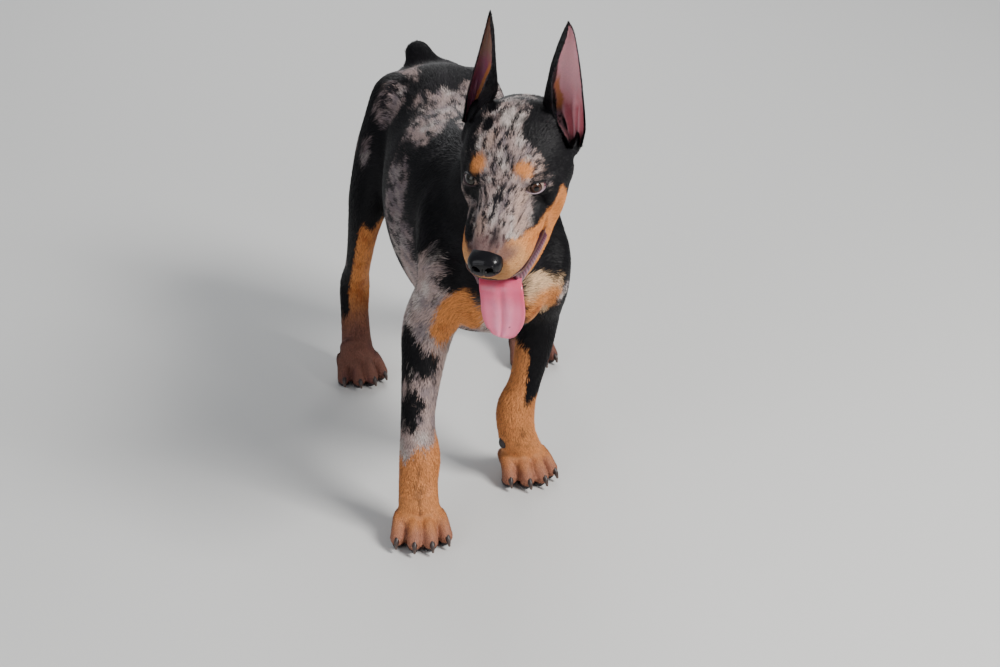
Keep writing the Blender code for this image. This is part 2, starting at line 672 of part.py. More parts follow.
def make_head():
    """Head with lids and ear feet, lower jaw, nose leather, both ears, both eyes and the tongue."""
    place = head_matrix()
    pieces = [
        tube("cranium", lengthwise(CRANIUM), rings=24, sides=26, squareness=2.3, round_by=0.5, place=place),
        tube("bridge", lengthwise(BRIDGE), rings=20, sides=22, squareness=2.7, round_by=0.4, place=place),
        tube("lips", UPPER_LIPS, rings=20, sides=24, squareness=2.4, round_by=0.30, place=place),
        tube("jaw", lengthwise(JAW), rings=18, sides=22, squareness=2.3, round_by=0.6, place=jaw_matrix()),
        tube("nose", lengthwise(NOSE), rings=10, sides=20, squareness=2.4, round_by=0.2, place=place),
        tube("throat", THROAT, rings=6, sides=18, place=place),
        tube("neck", NECK, rings=18, sides=24),
    ]
    for name, knots in (("corner", MOUTH_CORNER), ("cheek", CHEEK), ("masseter", MASSETER),
                        ("brow", BROW), ("ear_mound", EAR_MOUND)):
        pieces.append(tube(name, knots, rings=6, sides=16, place=place))
        pieces.append(tube(name, mirrored(knots), rings=6, sides=16, place=place))
    backward = place.to_3x3() @ Vector((0, 1, 0))
    middle = place.translation.dot(backward)
    ramp = (backward, middle + HEAD_RAMP[0], middle + HEAD_RAMP[1])
    head = blended(joined("head", pieces), FINE_VOXEL, HEAD_FACES, 3, ramp, HEAD_TURNS)
    halved(head, HEAD_CUT, HEAD_CUT_NORMAL)

    cuts = cut_nose_and_jaw()
    bed = [(*row[:3], *(size + GAP for size in row[3:])) for row in TONGUE]
    cuts.append(tube("tongue_bed", bed, rings=18, sides=12, squareness=2.6, caps=2, place=place))
    for side, sign in (("left", 1), ("right", -1)):
        middle = EYE_PLACE * Vector((sign, 1, 1))
        combined(head, ball("lids", middle, EYE_RADIUS + LID_THICK, place), "UNION")
        combined(head, ear_shell(side), "UNION", "MANIFOLD")
        cuts += [ball("socket", middle, EYE_RADIUS + GAP, place), lid_opening(sign), ear_slit(side)]
        nostril = NOSTRIL if side == "left" else mirrored(NOSTRIL)
        cuts.append(tube("nostril", nostril, rings=4, sides=10, caps=2, place=place))
        ball("eye_" + side, middle, EYE_RADIUS, place)
    for cut in cuts:        # the exact solver loses the head at the second eye
        combined(head, cut, "DIFFERENCE", "MANIFOLD")
    places = {
        "head": (0, 0.03, -0.01),
        "lower_jaw": (0, 0.0, -0.075),
        "nose": (0, -0.088, -0.024),
        "ear_left": (0.050, 0.088, 0.060),
        "ear_right": (-0.035, 0.088, 0.060),
    }
    parted(head, {name: place @ Vector(spot) for name, spot in places.items()})
    tube("tongue", TONGUE, rings=18, sides=12, squareness=2.6, caps=2, place=place)


def material(name, colour, roughness):
    made = bpy.data.materials.new(name)
    made.use_nodes = True
    shader = made.node_tree.nodes["Principled BSDF"]
    shader.inputs["Base Color"].default_value = (*colour, 1.0)
    shader.inputs["Roughness"].default_value = roughness
    shader.inputs["Metallic"].default_value = 0.0
    return made


def finish():
    """Puts the origin on the floor in the middle of the bounding box, and gives each piece its material."""
    pieces = [thing for thing in bpy.data.objects if thing.type == "MESH"]
    points = np.vstack([[vertex.co[:] for vertex in piece.data.vertices] for piece in pieces])
    low, high = points.min(axis=0), points.max(axis=0)
    shift = Matrix.Translation((-0.5 * (low[0] + high[0]), -0.5 * (low[1] + high[1]), -low[2]))
    home = bpy.data.collections.new("doberman_puppy")
    bpy.context.scene.collection.children.link(home)
    surfaces = {name: material(name, colour, roughness) for name, colour, roughness in SURFACES}
    for piece in pieces:
        piece.data.transform(shift)
        piece.data.shade_smooth()
        piece.data.set_sharp_from_angle(angle=SHARP_FROM)
        piece.data.materials.clear()
        piece.data.materials.append(surfaces[SURFACE_OF.get(piece.name, "short_coat")])
        bpy.context.scene.collection.objects.unlink(piece)
        home.objects.link(piece)


SURFACES = (
    ("short_coat", (0.030, 0.026, 0.026), 0.60),
    ("bare_skin", (0.020, 0.018, 0.020), 0.35),
    ("tongue_skin", (0.72, 0.26, 0.30), 0.35),
    ("eyeball", (0.10, 0.05, 0.03), 0.08),
)
SURFACE_OF = {"nose": "bare_skin", "tongue": "tongue_skin", "eye_left": "eyeball", "eye_right": "eyeball"}

clear_scene()
make_body()
for paw_name in PAWS:
    make_paw(paw_name)
make_head()
finish()
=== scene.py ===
import math

import bpy
import numpy as np
from mathutils import Matrix, Vector
from mathutils.bvhtree import BVHTree


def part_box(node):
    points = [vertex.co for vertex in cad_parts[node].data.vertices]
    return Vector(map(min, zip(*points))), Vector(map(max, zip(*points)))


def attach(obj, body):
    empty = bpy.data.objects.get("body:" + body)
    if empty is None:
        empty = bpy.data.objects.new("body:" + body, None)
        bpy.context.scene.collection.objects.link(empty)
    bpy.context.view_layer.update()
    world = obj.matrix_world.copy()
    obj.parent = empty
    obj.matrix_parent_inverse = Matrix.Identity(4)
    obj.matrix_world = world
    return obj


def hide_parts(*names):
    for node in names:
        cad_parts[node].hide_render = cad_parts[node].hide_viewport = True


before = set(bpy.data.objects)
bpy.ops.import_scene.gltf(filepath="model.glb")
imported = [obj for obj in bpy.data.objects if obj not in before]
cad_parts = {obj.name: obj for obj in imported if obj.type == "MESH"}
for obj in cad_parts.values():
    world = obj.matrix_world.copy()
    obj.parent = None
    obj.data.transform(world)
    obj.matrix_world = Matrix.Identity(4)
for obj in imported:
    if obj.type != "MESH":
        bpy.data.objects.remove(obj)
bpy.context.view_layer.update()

# Stance
# The model is worked out in the axes of its solids, on the floor and looking along -Y, with the head in
# axes of its own. The left eye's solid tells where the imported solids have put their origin.
HEAD_PLACE = np.array([-0.0188, -0.265, 0.4305])
HEAD_ANGLES = {"Z": -24.9, "X": 20.1, "Y": -1.9}      # turned to its right, nose down, tipped a little
EYE_PLACE = np.array([0.0256, 0.0096, 0.0])

head_turn = Matrix.Identity(3)
for axis, degrees in HEAD_ANGLES.items():
    head_turn = head_turn @ Matrix.Rotation(math.radians(degrees), 3, axis)
HEAD_AXES = np.array(head_turn)
eye_low, eye_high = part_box("eye_left")
ORIGIN = 0.5 * (np.array(eye_low) + np.array(eye_high)) - (HEAD_AXES @ EYE_PLACE + HEAD_PLACE)


def from_head(points):
    """Head points carried into the row frame: turned by the head's axes, then moved to its place."""
    return points @ HEAD_AXES.T + HEAD_PLACE + ORIGIN


def to_body(points):
    """Head points in the axes of the trunk and the limbs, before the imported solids' own origin is added."""
    return from_head(points) - ORIGIN


def to_head(points):
    """The way back: row-frame points in the head's own axes."""
    return (points - ORIGIN - HEAD_PLACE) @ HEAD_AXES


# Flesh
# Under the coat lie the muscles of the trunk, the limbs and the head. Each is a mass lofted along its
# own line from a few measured sections, and one skin is drawn over all of them.
# Trunk: distance back, height of the back, height of the underside, half width
TRUNK = (
    (-0.158, 0.328, 0.214, 0.052), (-0.132, 0.368, 0.195, 0.062), (-0.09, 0.394, 0.186, 0.07),
    (-0.04, 0.398, 0.183, 0.079), (0.02, 0.393, 0.186, 0.086), (0.075, 0.391, 0.2, 0.083),
    (0.12, 0.394, 0.223, 0.073), (0.165, 0.402, 0.243, 0.065), (0.205, 0.404, 0.268, 0.059),
    (0.235, 0.39, 0.308, 0.047),
)
# Neck, tail and limbs: x, y, z, half width, half depth in front and behind
NECK = (
    (0.016, -0.196, 0.45, 0.043, 0.04, 0.04), (0.012, -0.168, 0.413, 0.046, 0.046, 0.048),
    (0.006, -0.134, 0.366, 0.054, 0.061, 0.06), (0.001, -0.104, 0.322, 0.061, 0.085, 0.068),
    (0.0, -0.078, 0.286, 0.06, 0.092, 0.06),
)
SHOULDER_BLADE = (
    (0.028, -0.056, 0.362, 0.018, 0.024, 0.026), (0.044, -0.09, 0.334, 0.028, 0.036, 0.034),
    (0.05, -0.128, 0.298, 0.031, 0.038, 0.036),
)
LEGS = {
    "foreleg_right": (
        (-0.047, -0.142, 0.294, 0.03, 0.038, 0.04), (-0.053, -0.128, 0.252, 0.029, 0.036, 0.038),
        (-0.0645, -0.114, 0.213, 0.0285, 0.03, 0.033), (-0.0745, -0.131, 0.172, 0.0225, 0.024, 0.0245),
        (-0.0825, -0.15, 0.124, 0.0186, 0.019, 0.0195), (-0.0825, -0.163, 0.088, 0.0222, 0.0205, 0.0212),
        (-0.0855, -0.171, 0.06, 0.021, 0.0182, 0.0186), (-0.0865, -0.18, 0.034, 0.0222, 0.018, 0.018),
    ),
    "foreleg_left": (
        (0.05, -0.138, 0.29, 0.031, 0.036, 0.04), (0.056, -0.108, 0.25, 0.03, 0.034, 0.038),
        (0.06, -0.085, 0.212, 0.024, 0.027, 0.031), (0.056, -0.083, 0.17, 0.0208, 0.0222, 0.0225),
        (0.0475, -0.079, 0.122, 0.0176, 0.0186, 0.019), (0.0385, -0.077, 0.09, 0.0215, 0.02, 0.021),
        (0.0405, -0.075, 0.06, 0.0208, 0.018, 0.0184), (0.048, -0.068, 0.034, 0.022, 0.0178, 0.0178),
    ),
    "hindleg_right": (
        (-0.041, 0.197, 0.349, 0.036, 0.057, 0.045), (-0.049, 0.192, 0.32, 0.037, 0.06, 0.053),
        (-0.062, 0.182, 0.288, 0.0355, 0.061, 0.057), (-0.0815, 0.168, 0.248, 0.025, 0.044, 0.046),
        (-0.089, 0.17, 0.214, 0.018, 0.03, 0.031), (-0.09, 0.196, 0.168, 0.0152, 0.023, 0.023),
        (-0.0885, 0.228, 0.13, 0.0152, 0.018, 0.021), (-0.0885, 0.247, 0.104, 0.0184, 0.018, 0.02),
        (-0.09, 0.241, 0.074, 0.0172, 0.0155, 0.016), (-0.0905, 0.228, 0.046, 0.0178, 0.0155, 0.016),
        (-0.0915, 0.212, 0.03, 0.0205, 0.017, 0.017),
    ),
    "hindleg_left": (
        (0.041, 0.197, 0.349, 0.036, 0.057, 0.045), (0.049, 0.193, 0.32, 0.037, 0.06, 0.053),
        (0.062, 0.184, 0.288, 0.035, 0.061, 0.057), (0.082, 0.172, 0.248, 0.0245, 0.044, 0.046),
        (0.095, 0.176, 0.214, 0.018, 0.03, 0.031), (0.106, 0.206, 0.168, 0.0152, 0.023, 0.023),
        (0.112, 0.24, 0.13, 0.0152, 0.018, 0.021), (0.1165, 0.26, 0.104, 0.0184, 0.018, 0.02),
        (0.1185, 0.255, 0.074, 0.0172, 0.0155, 0.016), (0.119, 0.242, 0.046, 0.0178, 0.0155, 0.016),
        (0.1195, 0.226, 0.03, 0.0205, 0.017, 0.017),
    ),
}
TAIL = (
    (-0.003, 0.214, 0.364, 0.022, 0.022, 0.022), (-0.009, 0.236, 0.38, 0.0192, 0.019, 0.019),
    (-0.012, 0.25, 0.388, 0.0174, 0.0165, 0.0165),
)
BODY_VOXEL = 0.0024
BODY_COAT, PAW_COAT = 0.0011, 0.0006          # the skin lies this far inside the outline of the coat
PAW_TOP = 0.054             # height at which the legs' skin dives under the paws'
NECK_PLANE = (np.array([0.01, -0.163, 0.396]), np.array([0.1, -0.55, 0.83]) / 1.0007)


def unit(vectors):
    """Vectors scaled to length one."""
    return vectors / np.linalg.norm(vectors, axis=-1, keepdims=True)


def full_turn(count):
    """Angles spread evenly over one turn."""
    return np.linspace(0, 2 * math.pi, count, endpoint=False)


def smooth_rows(knots, count):
    """Catmull-Rom: each value is a cubic in the place between two knots, with the neighbours' slopes."""
    rows = np.asarray(knots, float)
    padded = np.vstack([2 * rows[0] - rows[1], rows, 2 * rows[-1] - rows[-2]])
    place = np.linspace(0, len(rows) - 1, count)
    first = np.minimum(place.astype(int), len(rows) - 2)
    t = (place - first)[:, None]
    before, start, end, after = (padded[first + k] for k in range(4))
    bend = 2 * before - 5 * start + 4 * end - after
    cubic = 3 * start - before - 3 * end + after
    return 0.5 * (2 * start + (end - before) * t + bend * t**2 + cubic * t**3)


def round_ended(rows, round_by, caps):
    """Adds rings past both ends that shrink as a quarter ellipse: size by cosine, reach by sine."""
    turn = 0.5 * math.pi * np.arange(1, caps + 1) / (caps + 0.35)
    ends = []
    for row, inner in ((rows[0], rows[1]), (rows[-1], rows[-2])):
        away = (row[:3] - inner[:3]) / np.linalg.norm(row[:3] - inner[:3])
        reach = round_by * min(row[3], 0.5 * (row[4] + row[5]))
        middles = row[:3] + away * reach * np.sin(turn)[:, None]
        ends.append(np.hstack([middles, row[3:] * np.cos(turn)[:, None]]))
    return np.vstack([ends[0][::-1], rows, ends[1]])


def limb(knots, rings=24, sides=28, squareness=2.0, round_by=1.0, caps=6):
    """Superellipse rings |x/a|^n + |y/b|^n = 1 square to a smooth line through the knots."""
    rows = round_ended(smooth_rows(knots, rings), round_by, caps)
    along = unit(np.gradient(rows[:, :3], axis=0))
    hint = np.array([1.0, 0.0, 0.0])
    side = unit(hint - along * (along @ hint)[:, None])
    front = np.cross(along, side)
    turn = full_turn(sides)
    across = np.sign(np.cos(turn)) * np.abs(np.cos(turn)) ** (2.0 / squareness)
    ahead = np.sign(np.sin(turn)) * np.abs(np.sin(turn)) ** (2.0 / squareness)
    depth = np.where(ahead > 0, rows[:, 4:5], rows[:, 5:6])
    ring = side[:, None] * (rows[:, 3:4] * across)[..., None] + front[:, None] * (depth * ahead)[..., None]
    return rows[:, None, :3] + ring


def lengthwise(profile):
    """Limb rows of a mass given by distance back, top, underside and half width."""
    back, top, low, half = np.asarray(profile, float).T
    depth = 0.5 * (top - low)
    return np.stack([0 * back, back, 0.5 * (top + low), half, depth, depth], 1)


def mirrored(knots):
    """The same rows on the other side of the middle plane."""
    return np.asarray(knots, float) * np.array([-1, 1, 1, 1, 1, 1])


def ring_faces(rings, sides):
    """Wall quads between neighbouring rings, and a fan of triangles to a point at each end."""
    ring, step = np.meshgrid(np.arange(rings - 1), np.arange(sides), indexing="ij")
    beside = (step + 1) % sides
    near, far = ring * sides, (ring + 1) * sides
    wall = np.stack([near + step, near + beside, far + beside, far + step], -1).reshape(-1, 4)
    k = np.arange(sides)
    after, start, last = (k + 1) % sides, rings * sides, (rings - 1) * sides
    fans = np.vstack([
        np.stack([0 * k + start, after, k], 1),
        np.stack([0 * k + start + 1, last + k, last + after], 1),
    ])
    return wall, fans


def closed_solid(grid):
    """Points and faces of a closed wall of rings; turned inside out when its signed volume is negative."""
    rings, sides = grid.shape[:2]
    wall, fans = ring_faces(rings, sides)
    points = np.vstack([grid.reshape(-1, 3), grid[0].mean(axis=0), grid[-1].mean(axis=0)])
    a, b, c = (points[wall[:, k]] for k in range(3))
    away = a - points.mean(axis=0)
    if np.einsum("ij,ij->", away, np.cross(b - a, c - a)) < 0:
        wall, fans = wall[:, ::-1], fans[:, ::-1]
    return points, wall, fans


def with_ends(values, first=0, last=0):
    """Values for the points of a closed wall of rings, with one more for the point at each end."""
    return np.concatenate([np.ravel(values), [first, last]])


def placed(name, shown):
    """An object in the scene that shows a mesh, a lamp or a camera."""
    thing = bpy.data.objects.new(name, shown)
    bpy.context.scene.collection.objects.link(thing)
    return thing


def new_piece(name, points, faces):
    """An object in the row frame from arrays of points and of faces, which may be of several sizes."""
    mesh = bpy.data.meshes.new(name)
    mesh.from_pydata(points.tolist(), [], [face for group in faces for face in group.tolist()])
    mesh.polygons.foreach_set("use_smooth", np.ones(len(mesh.polygons), bool))
    return placed(name, mesh)


def drawn_over(name, grids, voxel):
    """One closed skin over all the masses, from a voxel remesh: its points and its quads."""
    points, faces, start = [], [], 0
    for grid in grids:
        more, wall, fans = closed_solid(grid)
        points.append(more)
        faces += [wall + start, fans + start]
        start += len(more)
    rough = new_piece(name, np.vstack(points), faces)
    remesh = rough.modifiers.new("draw over", "REMESH")
    remesh.mode, remesh.voxel_size = "VOXEL", voxel
    made = rough.evaluated_get(bpy.context.evaluated_depsgraph_get()).data
    places = np.empty(3 * len(made.vertices))
    made.vertices.foreach_get("co", places)
    corners = np.empty(len(made.loops), int)
    made.loops.foreach_get("vertex_index", corners)
    bpy.data.objects.remove(rough, do_unlink=True)
    return places.reshape(-1, 3), corners.reshape(-1, 4)


def quad_edges(quads):
    """Each edge of the quads once, as pairs of points."""
    sides = np.vstack([quads[:, [k, (k + 1) % 4]] for k in range(4)])
    return np.unique(np.sort(sides, axis=1), axis=0)


def relaxed(points, edges, turns, share=1.0):
    """Each turn moves a point half way to the mean of its neighbours, times its share."""
    count = len(points)
    near = np.concatenate([edges[:, 0], edges[:, 1]])
    far = np.concatenate([edges[:, 1], edges[:, 0]])
    valence = np.bincount(near, minlength=count)[:, None]
    share = 0.5 * np.broadcast_to(share, count)[:, None]
    for _ in range(turns):
        total = np.stack([np.bincount(near, points[far, k], count) for k in range(points.shape[1])], 1)
        points = points + share * (total / valence - points)
    return points


def normals_of(points, quads):
    """Unit normals: the sum over the quads round a point of the cross product of their diagonals."""
    face = np.cross(points[quads[:, 2]] - points[quads[:, 0]], points[quads[:, 3]] - points[quads[:, 1]])
    total = sum(
        np.stack([np.bincount(quads[:, k], face[:, axis], len(points)) for axis in range(3)], 1)
        for k in range(4)
    )
    return total / np.maximum(np.linalg.norm(total, axis=1), 1e-12)[:, None]


def eased(value, start, end):
    """0 up to the start, 1 from the end, and 3t^2 - 2t^3 between them."""
    t = np.clip((value - start) / (end - start), 0, 1)
    return t * t * (3 - 2 * t)


def hump(value, width):
    """A bell curve: e to the power of minus (value / width)^2."""
    return np.exp(-((value / width) ** 2))


body_grids = [
    limb(lengthwise(TRUNK), 44, 40, 2.25, 0.7),
    limb(NECK, 24, 36),
    limb(TAIL, 10, 24),
    limb(SHOULDER_BLADE),
    limb(mirrored(SHOULDER_BLADE)),
    *(limb(leg, 40, 28) for leg in LEGS.values()),
]
body_points, body_quads = drawn_over("body", body_grids, BODY_VOXEL)
body_edges = quad_edges(body_quads)
body_points = relaxed(body_points, body_edges, 7)
body_points = relaxed(body_points, body_edges, 28, np.clip((body_points[:, 2] - 0.19) / 0.08, 0, 1))
withers = hump(body_points[:, 1] + 0.11, 0.05) * (body_points[:, 2] > 0.31)
body_points = relaxed(body_points, body_edges, 80, withers)
# The cleft between the thighs, deepest in the middle, and the arch of the groin between the legs
x, y, z = body_points.T
cleft = 0.014 * hump(x, 0.011) * eased(z, 0.345, 0.32) * eased(y, 0.17, 0.22)
arch = 0.02 * hump(x, 0.024) * eased(y, 0.11, 0.17) * eased(z, 0.275, 0.235)
body_points = relaxed(body_points + np.stack([0 * x, -cleft, arch], 1), body_edges, 3)
body_normals = normals_of(body_points, body_quads)


# Head
# The skull with the muscles of the jaw and cheek, the bridge and lips of the muzzle and the lower jaw.
# The skin is thin here, so the folds of brow, lips and cheek show in it.
SKULL = (
    (-0.01, 0.008, -0.04, 0.026), (0.004, 0.0175, -0.048, 0.035), (0.022, 0.0262, -0.053, 0.0445),
    (0.045, 0.0335, -0.052, 0.0515), (0.068, 0.0355, -0.048, 0.053), (0.09, 0.0325, -0.04, 0.048),
    (0.106, 0.024, -0.028, 0.036),
)
BRIDGE = (
    (-0.082, -0.0135, -0.034, 0.014), (-0.068, -0.0085, -0.038, 0.0175), (-0.048, -0.0035, -0.04, 0.02),
    (-0.028, 0.0015, -0.042, 0.022), (-0.01, 0.008, -0.042, 0.025), (0.008, 0.0165, -0.042, 0.029),
)
LOWER_JAW = (
    (-0.077, -0.05, -0.064, 0.011), (-0.062, -0.0495, -0.07, 0.02), (-0.03, -0.049, -0.076, 0.031),
    (0.0, -0.048, -0.078, 0.0375), (0.035, -0.044, -0.076, 0.0415),
)
JAW_HINGE, JAW_OPEN = np.array([0.0, 0.055, -0.04]), math.radians(8.0)
UPPER_LIPS = (
    (0.001, -0.082, -0.0385, 0.0212, 0.0105, 0.019), (0.0015, -0.07, -0.0388, 0.0285, 0.0108, 0.0225),
    (0.001, -0.053, -0.0395, 0.0332, 0.0106, 0.025), (0.0005, -0.04, -0.04, 0.0352, 0.0108, 0.0265),
    (0.0, -0.028, -0.0403, 0.0364, 0.011, 0.028), (0.0, -0.01, -0.04, 0.038, 0.012, 0.03),
    (0.0, 0.012, -0.038, 0.041, 0.013, 0.032),
)
MOUTH_CORNER = ((0.0265, 0.006, -0.054, 0.0115, 0.014, 0.015), (0.029, 0.036, -0.048, 0.015, 0.022, 0.02))
MASSETER = (
    (0.035, 0.052, 0.0, 0.015, 0.022, 0.022), (0.037, 0.046, -0.026, 0.0155, 0.026, 0.026),
    (0.0345, 0.036, -0.05, 0.0135, 0.024, 0.024), (0.03, 0.026, -0.064, 0.011, 0.018, 0.018),
)
CHEEK = ((0.034, 0.012, -0.022, 0.013, 0.022, 0.024), (0.0395, 0.05, -0.016, 0.0175, 0.03, 0.026))
BROW = ((0.02, 0.0, 0.0045, 0.009, 0.0085, 0.0085), (0.03, 0.014, 0.0045, 0.009, 0.009, 0.009))
EAR_MOUND = ((0.047, 0.073, -0.008, 0.014, 0.018, 0.018), (0.038, 0.081, 0.018, 0.015, 0.018, 0.018))
THROAT = ((0.0, 0.03, -0.05, 0.034, 0.026, 0.026), (0.0, 0.07, -0.04, 0.04, 0.036, 0.036))
HEAD_VOXEL = 0.0012
HEAD_COAT, SKULL_COAT = 0.0005, 0.0011      # how deep the skin lies under the coat on face and skull
EYE_RADIUS, LID_THICK = 0.0105, 0.0014
SIDES = {1: "left", -1: "right"}
EYE_MIDDLES = {1: np.array([0.027, 0.0062, -0.0058]), -1: np.array([-0.03, 0.0062, -0.0018])}

jaw_turn = np.array(Matrix.Rotation(JAW_OPEN, 3, "X"))
jaw = (limb(lengthwise(LOWER_JAW), 24, 32, 2.3, 0.6) - JAW_HINGE) @ jaw_turn.T + JAW_HINGE
polar, around = np.meshgrid(np.linspace(0.12, math.pi - 0.12, 18), full_turn(28), indexing="ij")
globe = np.stack([np.sin(polar) * np.cos(around), np.sin(polar) * np.sin(around), np.cos(polar)], -1)
head_grids = [
    limb(lengthwise(SKULL), 32, 40, 2.3, 0.5),
    limb(lengthwise(BRIDGE), 26, 32, 2.7, 0.4),
    limb(UPPER_LIPS, 26, 36, 2.4, 0.3),
    jaw,
    limb(THROAT, 10, 24),
]
for knots in (MOUTH_CORNER, CHEEK, MASSETER, BROW, EAR_MOUND):
    head_grids += [limb(knots, 10, 24), limb(mirrored(knots), 10, 24)]
for sign in SIDES:
    head_grids.append(globe * (EYE_RADIUS + LID_THICK) + EYE_MIDDLES[sign])
head_grids = [to_body(grid) for grid in head_grids] + [limb(NECK[:4], 20, 36)]
head_points, head_quads = drawn_over("head skin", head_grids, HEAD_VOXEL)
head_edges = quad_edges(head_quads)
head_points = relaxed(head_points, head_edges, 7)
backward = to_head(head_points + ORIGIN)[:, 1]
head_points = relaxed(head_points, head_edges, 32, np.clip((backward + 0.03) / 0.05, 0, 1))
# Folds under the skin of the face: place on the left side, reach along each axis, height of the fold
FACE_FOLDS = (
    ((0.0215, 0.003, 0.014), (0.009, 0.006, 0.006), 0.001),
    ((0.03, -0.014, -0.01), (0.008, 0.013, 0.009), -0.0012),
    ((0.016, -0.005, 0.005), (0.004, 0.01, 0.01), -0.0007),
    ((0.04, 0.012, -0.018), (0.012, 0.016, 0.0045), 0.001),
    ((0.033, -0.056, -0.038), (0.01, 0.012, 0.006), 0.0009),
    ((0.036, -0.022, -0.04), (0.01, 0.004, 0.009), -0.0008),
    ((0.037, -0.004, -0.042), (0.01, 0.004, 0.01), -0.0009),
    ((0.038, 0.004, -0.044), (0.01, 0.004, 0.01), 0.0008),
    ((0.028, 0.044, 0.026), (0.012, 0.018, 0.012), -0.001),
    ((0.0, 0.033, 0.03), (0.0022, 0.026, 0.012), -0.0009),
    ((0.009, 0.035, 0.031), (0.005, 0.022, 0.01), 0.0005),
)
# Line between the lips on the left, from under the nose back to the corner of the mouth
LIP_LINE_STEPS = 90
LIP_LINE = smooth_rows((
    (0.0008, -0.087, -0.0478), (0.0125, -0.085, -0.0481), (0.0228, -0.0785, -0.0484),
    (0.03, -0.068, -0.0488), (0.0338, -0.0466, -0.0495), (0.0363, -0.0287, -0.0505),
    (0.0375, -0.0108, -0.0521), (0.0368, 0.004, -0.0545),
), LIP_LINE_STEPS)
LIP_END_FADE = eased(np.arange(LIP_LINE_STEPS), LIP_LINE_STEPS - 1, LIP_LINE_STEPS - 16)
EYE_GAZE = np.array([0.47, -0.82, 0.3]) / np.linalg.norm([0.47, -0.82, 0.3])
EYE_SLANT = math.radians(1.0)
# Opening between the lids: half its length, its height above and its depth below the line of its corners
LID_OPENING = (0.0098, 0.0053, 0.0045)


def eye_axes(sign):
    """Middle of an eye, its gaze, the line through its corners and the way up, in the head's axes."""
    flip = np.array([sign, 1, 1])
    gaze = EYE_GAZE * flip
    level = np.cross([0, 0, 1], gaze) * -sign
    level /= np.linalg.norm(level)
    raised = np.cross(gaze, level)
    raised *= np.sign(raised[2])
    corners = level * math.cos(EYE_SLANT) + raised * math.sin(EYE_SLANT)
    return EYE_MIDDLES[sign], gaze, corners, raised * math.cos(EYE_SLANT) - level * math.sin(EYE_SLANT)


def opening_share(points, sign):
    """Place in the almond between the lids, by the ellipse of each quarter: 1 on its rim, more outside."""
    middle, gaze, corners, upward = eye_axes(sign)
    along, rise = (points - middle) @ corners, (points - middle) @ upward
    half, above, below = LID_OPENING
    share = np.hypot(along / half, rise / np.where(rise > 0, above, below))
    return np.where((points - middle) @ gaze > 0, share, 9.0)


head_local = to_head(head_points + ORIGIN)
head_normals = normals_of(head_local, head_quads)
moved = np.zeros(len(head_local))
for sign in SIDES:
    for place, reach, height in FACE_FOLDS:
        far = (head_local - np.array(place) * [sign, 1, 1]) / np.array(reach)
        moved += height * np.exp(-np.einsum("ij,ij->i", far, far)) * (0.5 if place[0] == 0 else 1)
at_mouth = (head_local[:, 1] < 0.02) & (head_local[:, 2] < -0.028) & (head_local[:, 2] > -0.075)
near_lips = np.flatnonzero(at_mouth)
lip_points = np.vstack([LIP_LINE, LIP_LINE * [-1, 1, 1]])
lip_fade = np.tile(LIP_END_FADE, 2)
apart = head_local[near_lips, None] - lip_points[None]
gap = np.sqrt(np.einsum("ijk,ijk->ij", apart, apart))
nearest = gap.argmin(axis=1)
gap = gap[np.arange(len(near_lips)), nearest]
above = head_local[near_lips, 2] - lip_points[nearest, 2]
crease = 0.0007 * hump(above - 0.0024, 0.0026) - 0.0022 * hump(above + 0.0026, 0.0018)
moved[near_lips] += crease * lip_fade[nearest] * hump(gap, 0.009)
thin = SKULL_COAT + (HEAD_COAT - SKULL_COAT) * (1 - eased(head_local[:, 1], 0.04, 0.1))
head_local = head_local + head_normals * (moved - thin)[:, None]
head_tree = BVHTree.FromPolygons(head_local.tolist(), head_quads.tolist())
head_full = head_local.copy()
for sign in SIDES:
    pushed = 0.01 * (1 - eased(opening_share(head_local, sign), 1.12, 1.42))
    head_local = head_local - eye_axes(sign)[1] * pushed[:, None]
